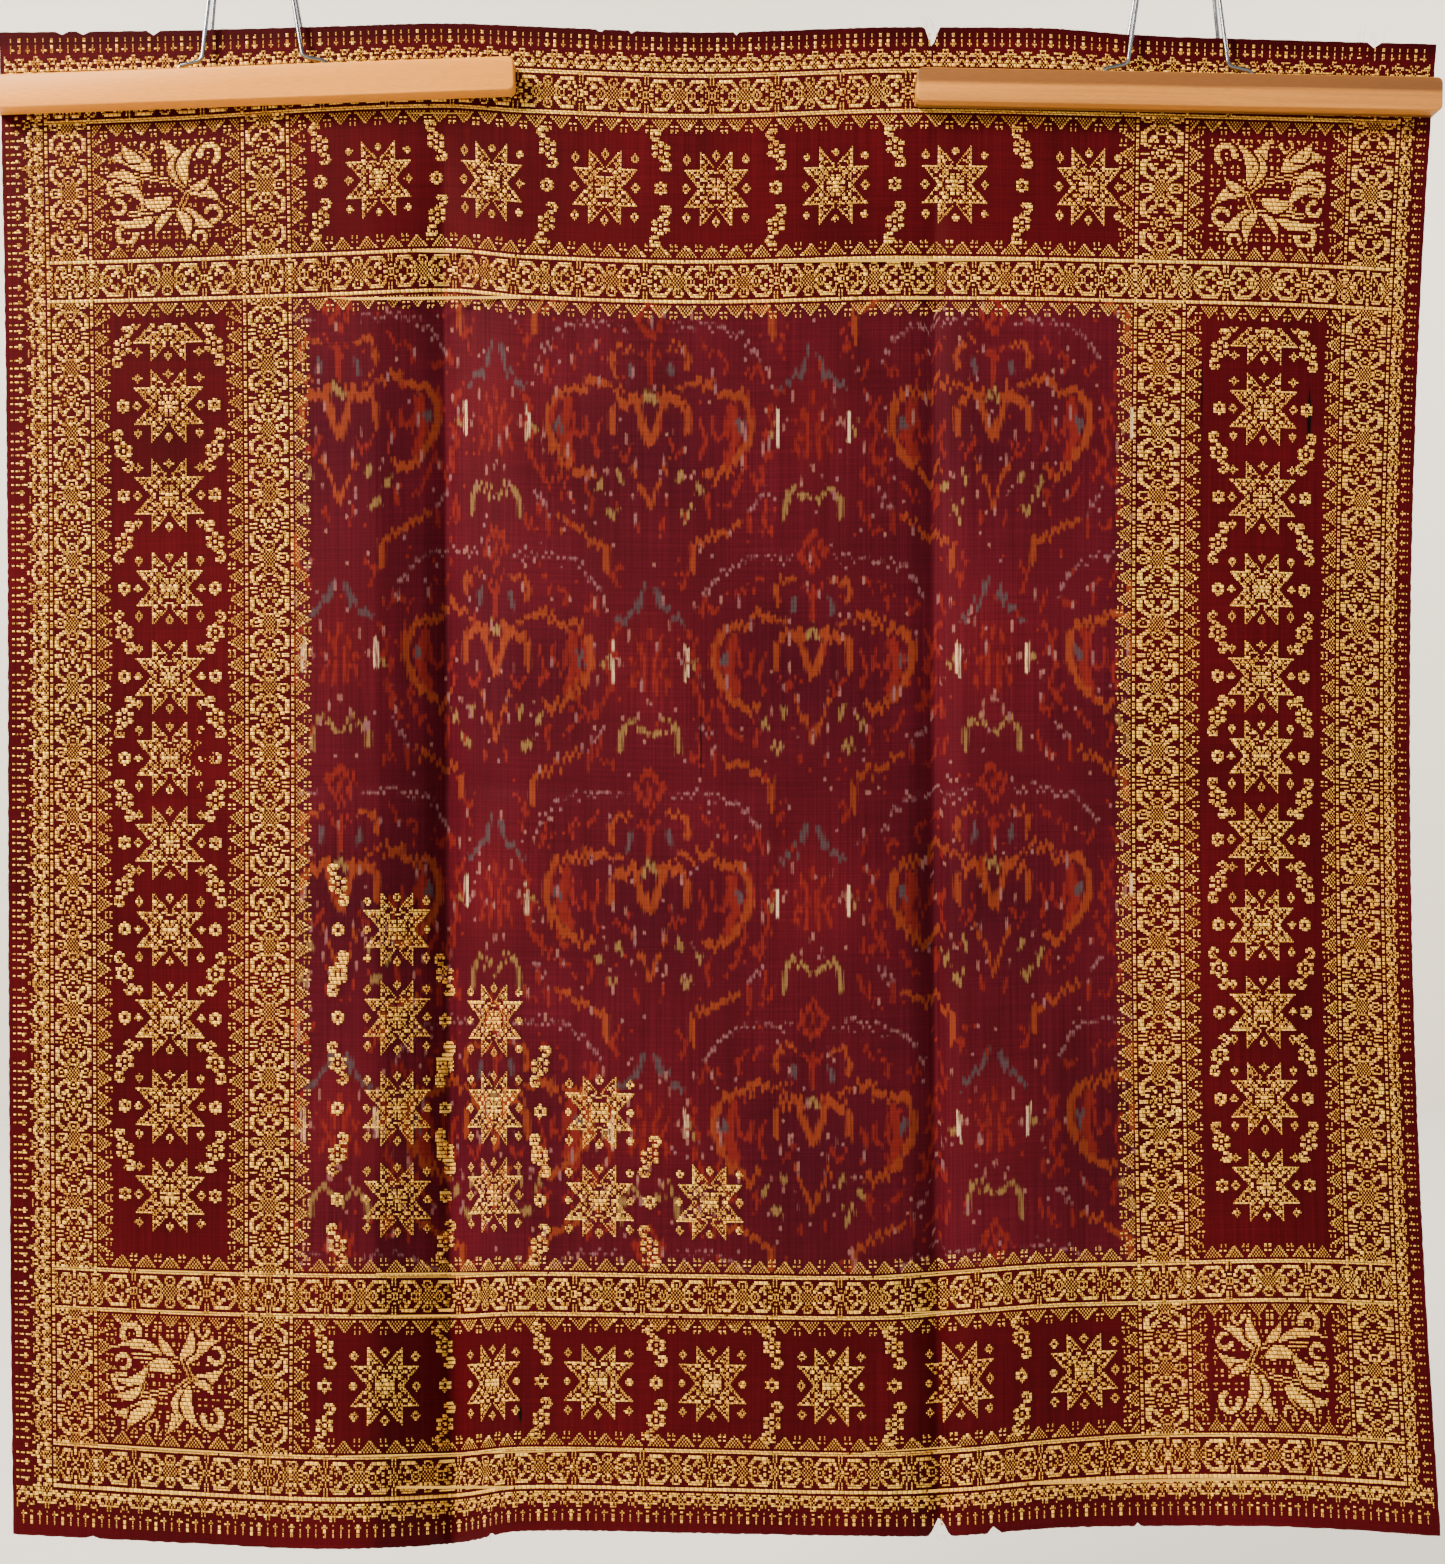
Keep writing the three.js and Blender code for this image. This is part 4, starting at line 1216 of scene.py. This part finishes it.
def loose_ends():
    points, faces = [], []
    ways = {"left": (-1, 0), "right": (1, 0), "top": (0, -1), "hem": (0, 1)}
    for edge, low, high, count, longest in FRAYS:
        for _ in range(count):
            at = chance.uniform(low, high)
            length = longest * chance.uniform(0.35, 1.0)
            bend = chance.uniform(-0.7, 0.7)
            lift = chance.uniform(-0.5, 0.5)
            way = ways[edge]
            across, down = {
                "left": (CLOTH_LEFT + FRAY_INSET, at), "right": (CLOTH_RIGHT - FRAY_INSET, at),
                "top": (at, FRAY_INSET), "hem": (at, CLOTH_DROP - FRAY_INSET)}[edge]
            root = hang(across, down)[0]
            start = len(points)
            for knot in range(FRAY_KNOTS):
                t = knot / (FRAY_KNOTS - 1)
                reach, side = length * t, bend * length * t * t
                middle = root + np.array([
                    way[0] * reach + abs(way[1]) * side, lift * reach, -way[1] * reach - abs(way[0]) * side])
                for turn in FRAY_TURNS:
                    wide, deep = math.cos(turn), math.sin(turn)
                    ring_point = (wide, deep, 0) if way[1] else (0, deep, wide)
                    points.append(middle + np.array(ring_point) * FRAY_RADIUS * (1 - 0.6 * t))
            for knot in range(FRAY_KNOTS - 1):
                for corner in range(3):
                    a, b = start + knot * 3 + corner, start + knot * 3 + (corner + 1) % 3
                    round_face = (a, b, b + 3, a + 3)
                    faces.append(round_face[::-1] if sum(way) > 0 else round_face)
    return new_piece("loose_ends", np.array(points) * MM, faces, thread_material())


# Clamp hangers, the same sizes as their solids

SLAT_LENGTH, SLAT_HEIGHT, SLAT_DEPTH = 312.0, 20.0, 12.0
SLAT_CORNER, SLAT_EASE = 3.5, 0.9
SLAT_MIDDLE = 0.9 + SLAT_DEPTH / 2
WIRE_RADIUS = 1.25
WIRE_ROUNDNESS = 5
BAIL_FOOT, BAIL_STUB, BAIL_JOG, BAIL_JOG_RISE = 44.0, 3.2, 14.0, 3.0
BAIL_RISE, BAIL_CROWN, BAIL_BEND, BAIL_APART, BAIL_SUNK = 118.0, 15.0, 3.5, 1.45, 0.4
HOOK_WIRE, HOOK_SEAT, HOOK_EYE, HOOK_OVER_SLAT = 1.6, 19.0, 5.5, 185.0
HOOK_EYE_TURNS, HOOK_BEND_TURNS = range(38, -245, -11), range(-40, 196, 8)
HANGERS = (("hanger_left", -275.5, 185.0, 2.05), ("hanger_right", 275.5, 189.0, -1.1))


def hanger_place(across, drop, tilt):
    turn = Matrix.Rotation(math.radians(-tilt), 4, "Y")
    return Matrix.Translation(Vector((across, 0, -drop)) * MM) @ turn


def slat(name, side, place, material, node):
    """A slat with round corners and eased edges, its grain map along its length."""
    mesh = bpy.data.meshes.new(name)
    shape = bmesh.new()
    size = Matrix.Diagonal((SLAT_LENGTH * MM, SLAT_DEPTH * MM, SLAT_HEIGHT * MM, 1))
    bmesh.ops.create_cube(shape, size=1.0, matrix=size)
    corners = [e for e in shape.edges if abs(e.verts[0].co.y - e.verts[1].co.y) > SLAT_DEPTH * MM / 2]
    bmesh.ops.bevel(
        shape, geom=corners, offset=SLAT_CORNER * MM, segments=5, profile=0.5, affect="EDGES", material=-1)
    rims = [e for e in shape.edges if abs(e.verts[0].co.y - e.verts[1].co.y) < 1e-7]
    bmesh.ops.bevel(
        shape, geom=rims, offset=SLAT_EASE * MM, segments=3, profile=0.5, affect="EDGES", material=-1)
    grain = shape.loops.layers.uv.new("grain")
    for face in shape.faces:
        for loop in face.loops:
            co = loop.vert.co
            level = abs(face.normal.z) > 0.7
            loop[grain].uv = (co.x + 3.0 * side, co.y if level else co.z)
    seat = place @ Matrix.Translation((0, side * SLAT_MIDDLE * MM, 0))
    bmesh.ops.transform(shape, matrix=seat, verts=shape.verts)
    shape.to_mesh(mesh)
    shape.free()
    piece = carried(name, mesh, material)
    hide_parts(node)
    return piece


def bent_route(corners, bends, steps=8):
    """Points along straight runs with a round bend at each inner corner."""
    route = [corners[0]]
    for before, corner, after, bend in zip(corners, corners[1:], corners[2:], bends):
        into = corner + (before - corner).normalized() * bend
        out = corner + (after - corner).normalized() * bend
        for i in range(steps + 1):
            t = i / steps
            route.append(into * (1 - t) ** 2 + corner * 2 * t * (1 - t) + out * t * t)
    route.append(corners[-1])
    return route


def wire(name, route, radius, place, material, node):
    """A round wire along a route, with its ends closed."""
    curve = bpy.data.curves.new(name, "CURVE")
    curve.dimensions = "3D"
    curve.fill_mode = "FULL"
    curve.bevel_depth = radius * MM
    curve.bevel_resolution = WIRE_ROUNDNESS
    curve.use_fill_caps = True
    line = curve.splines.new("POLY")
    line.points.add(len(route) - 1)
    for point, middle in zip(line.points, route):
        point.co = (*(place @ (middle * MM)), 1)
    bent = bpy.data.objects.new(name, curve)
    mesh = bpy.data.meshes.new_from_object(bent)
    bpy.data.objects.remove(bent)
    bpy.data.curves.remove(curve)
    piece = carried(name, mesh, material)
    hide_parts(node)
    return piece


def bail_route(side):
    top = SLAT_HEIGHT / 2
    crown = top + BAIL_RISE
    leg_foot = top + BAIL_STUB + BAIL_JOG_RISE
    leg = (
        (BAIL_FOOT, top - BAIL_SUNK),
        (BAIL_FOOT, top + BAIL_STUB),
        (BAIL_FOOT - BAIL_JOG, leg_foot),
        (BAIL_CROWN, crown),
    )
    corners = []
    for x, z in (*((-x, z) for x, z in leg), *reversed(leg)):
        climb = max(z - leg_foot, 0) / (crown - leg_foot)
        corners.append(Vector((x, side * (SLAT_MIDDLE + (BAIL_APART - SLAT_MIDDLE) * climb), z)))
    bends = (BAIL_BEND * 0.7, BAIL_BEND, BAIL_CROWN - 0.5)
    return bent_route(corners, (*bends, *reversed(bends)))


def hook_route():
    crown = SLAT_HEIGHT / 2 + BAIL_RISE
    eye = crown + 1.1
    seat = HOOK_OVER_SLAT - HOOK_SEAT
    bend = HOOK_SEAT + HOOK_WIRE
    knots = []
    for degrees in HOOK_EYE_TURNS:
        turn = math.radians(degrees)
        knots.append(Vector((0, HOOK_EYE * math.cos(turn), eye + HOOK_EYE * math.sin(turn))))
    knots.append(Vector((0, 0, eye + HOOK_EYE + 2.5)))
    knots.append(Vector((1, 0, eye + HOOK_EYE + 7.5)))
    for degrees in HOOK_BEND_TURNS:
        turn = math.radians(degrees)
        knots.append(Vector((bend * math.cos(turn), 0, seat + bend * math.sin(turn))))
    route = []
    for i in range(len(knots) - 1):
        a, b = knots[max(i - 1, 0)], knots[i]
        c, d = knots[i + 1], knots[min(i + 2, len(knots) - 1)]
        for step in range(3):
            t = step / 3
            route.append(0.5 * (2 * b + (c - a) * t + (2 * a - 5 * b + 4 * c - d) * t * t
                                + (3 * b - a - 3 * c + d) * t ** 3))
    route.append(knots[-1])
    return route


def clamp_hanger(name, across, drop, tilt, beech, plated):
    place = hanger_place(across, drop, tilt)
    slats = []
    for label, side in (("front", -1), ("back", 1)):
        node = f"{name}_{label}_slat"
        slats.append(slat(f"{node}_eased", side, place, beech, node))
        node = f"{name}_{label}_bail"
        wire(f"{node}_round", bail_route(side), WIRE_RADIUS, place, plated, node)
    wire(f"{name}_hook_round", hook_route(), HOOK_WIRE, place, plated, f"{name}_hook")
    return slats


# The part

plated = wire_material()
beech = {
    "hanger_left": beech_material("beech_pale", "#ea9834", "#d98829", 0.0),
    "hanger_right": beech_material("beech_two_tone", "#dc9038", "#7a4c22", 0.8),
}
slats = []
for name, across, drop, tilt in HANGERS:
    slats += clamp_hanger(name, across, drop, tilt, beech[name], plated)
sheet = cloth_sheet()
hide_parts("songket_cloth")
on_cloth = [*weave_gold(), slit_shadows(), loose_ends()]

# Stage: a pale floor and backdrop, soft light from the upper left, and the photograph's view

FLOOR_HEIGHT, FLOOR_HALF = -1.42, 9.0
BACKDROP_AWAY, BACKDROP_HALF = 3.4, 5.0
PHOTO_TALL, PIXEL = 1564, 0.6
SENSOR = 36.0


def stage_plane(name, half, place, turn, code):
    mesh = bpy.data.meshes.new(name)
    shape = bmesh.new()
    bmesh.ops.create_grid(shape, x_segments=4, y_segments=4, size=half)
    shape.to_mesh(mesh)
    shape.free()
    material, tree, shader = new_material(f"pale_{name}")
    set_inputs(tree, shader, [("Base Color", colour(code)), ("Roughness", 0.85), ("Specular IOR Level", 0.1)])
    mesh.materials.append(material)
    plane = bpy.data.objects.new(name, mesh)
    plane.location = place
    plane.rotation_euler = turn
    bpy.context.scene.collection.objects.link(plane)


def soft_light(name, place, target, size, power, warmth):
    light = bpy.data.lights.new(name, "AREA")
    light.size = size
    light.energy = power
    light.color = linear(warmth)
    lamp = bpy.data.objects.new(name, light)
    lamp.location = place
    lamp.rotation_euler = (Vector(target) - Vector(place)).to_track_quat("-Z", "Y").to_euler()
    bpy.context.scene.collection.objects.link(lamp)


def stage_world():
    world = bpy.data.worlds.new("studio")
    world.use_nodes = True
    background = world.node_tree.nodes["Background"]
    background.inputs["Color"].default_value = colour("#eceae6")
    background.inputs["Strength"].default_value = 0.52
    bpy.context.scene.world = world


def photo_camera():
    """A view square to the cloth, from the distance at which its sections were sized."""
    seen_tall = PHOTO_TALL * PIXEL
    camera = bpy.data.cameras.new("camera")
    camera.sensor_width = SENSOR
    camera.lens = SENSOR * EYE_DISTANCE / seen_tall
    camera.dof.use_dof = False
    eye = bpy.data.objects.new("camera", camera)
    eye.location = Vector((EYE_ACROSS, -EYE_DISTANCE, EYE_HEIGHT)) * MM
    eye.rotation_euler = (math.pi / 2, 0, 0)
    bpy.context.scene.collection.objects.link(eye)
    bpy.context.scene.camera = eye


stage_plane("floor", FLOOR_HALF, (0, 0, FLOOR_HEIGHT), (0, 0, 0), "#e6e3dd")
backdrop_place = (0, BACKDROP_AWAY, FLOOR_HEIGHT + BACKDROP_HALF)
stage_plane("backdrop", BACKDROP_HALF, backdrop_place, (math.pi / 2, 0, 0), "#ece6dc")
stage_world()
soft_light("key", (-1.7, -1.5, 1.1), (0, 0, -0.55), 0.8, 215.0, "#fff3e4")
soft_light("fill", (1.6, -1.9, 0.2), (0, 0, -0.6), 1.6, 12.0, "#f1f4ff")
soft_light("backdrop_left", (-2.2, 1.2, 1.4), (-0.9, BACKDROP_AWAY, -0.4), 1.6, 130.0, "#fff6ea")
soft_light("backdrop_right", (2.2, 1.2, 1.4), (0.9, BACKDROP_AWAY, -0.4), 1.6, 130.0, "#fff6ea")
photo_camera()
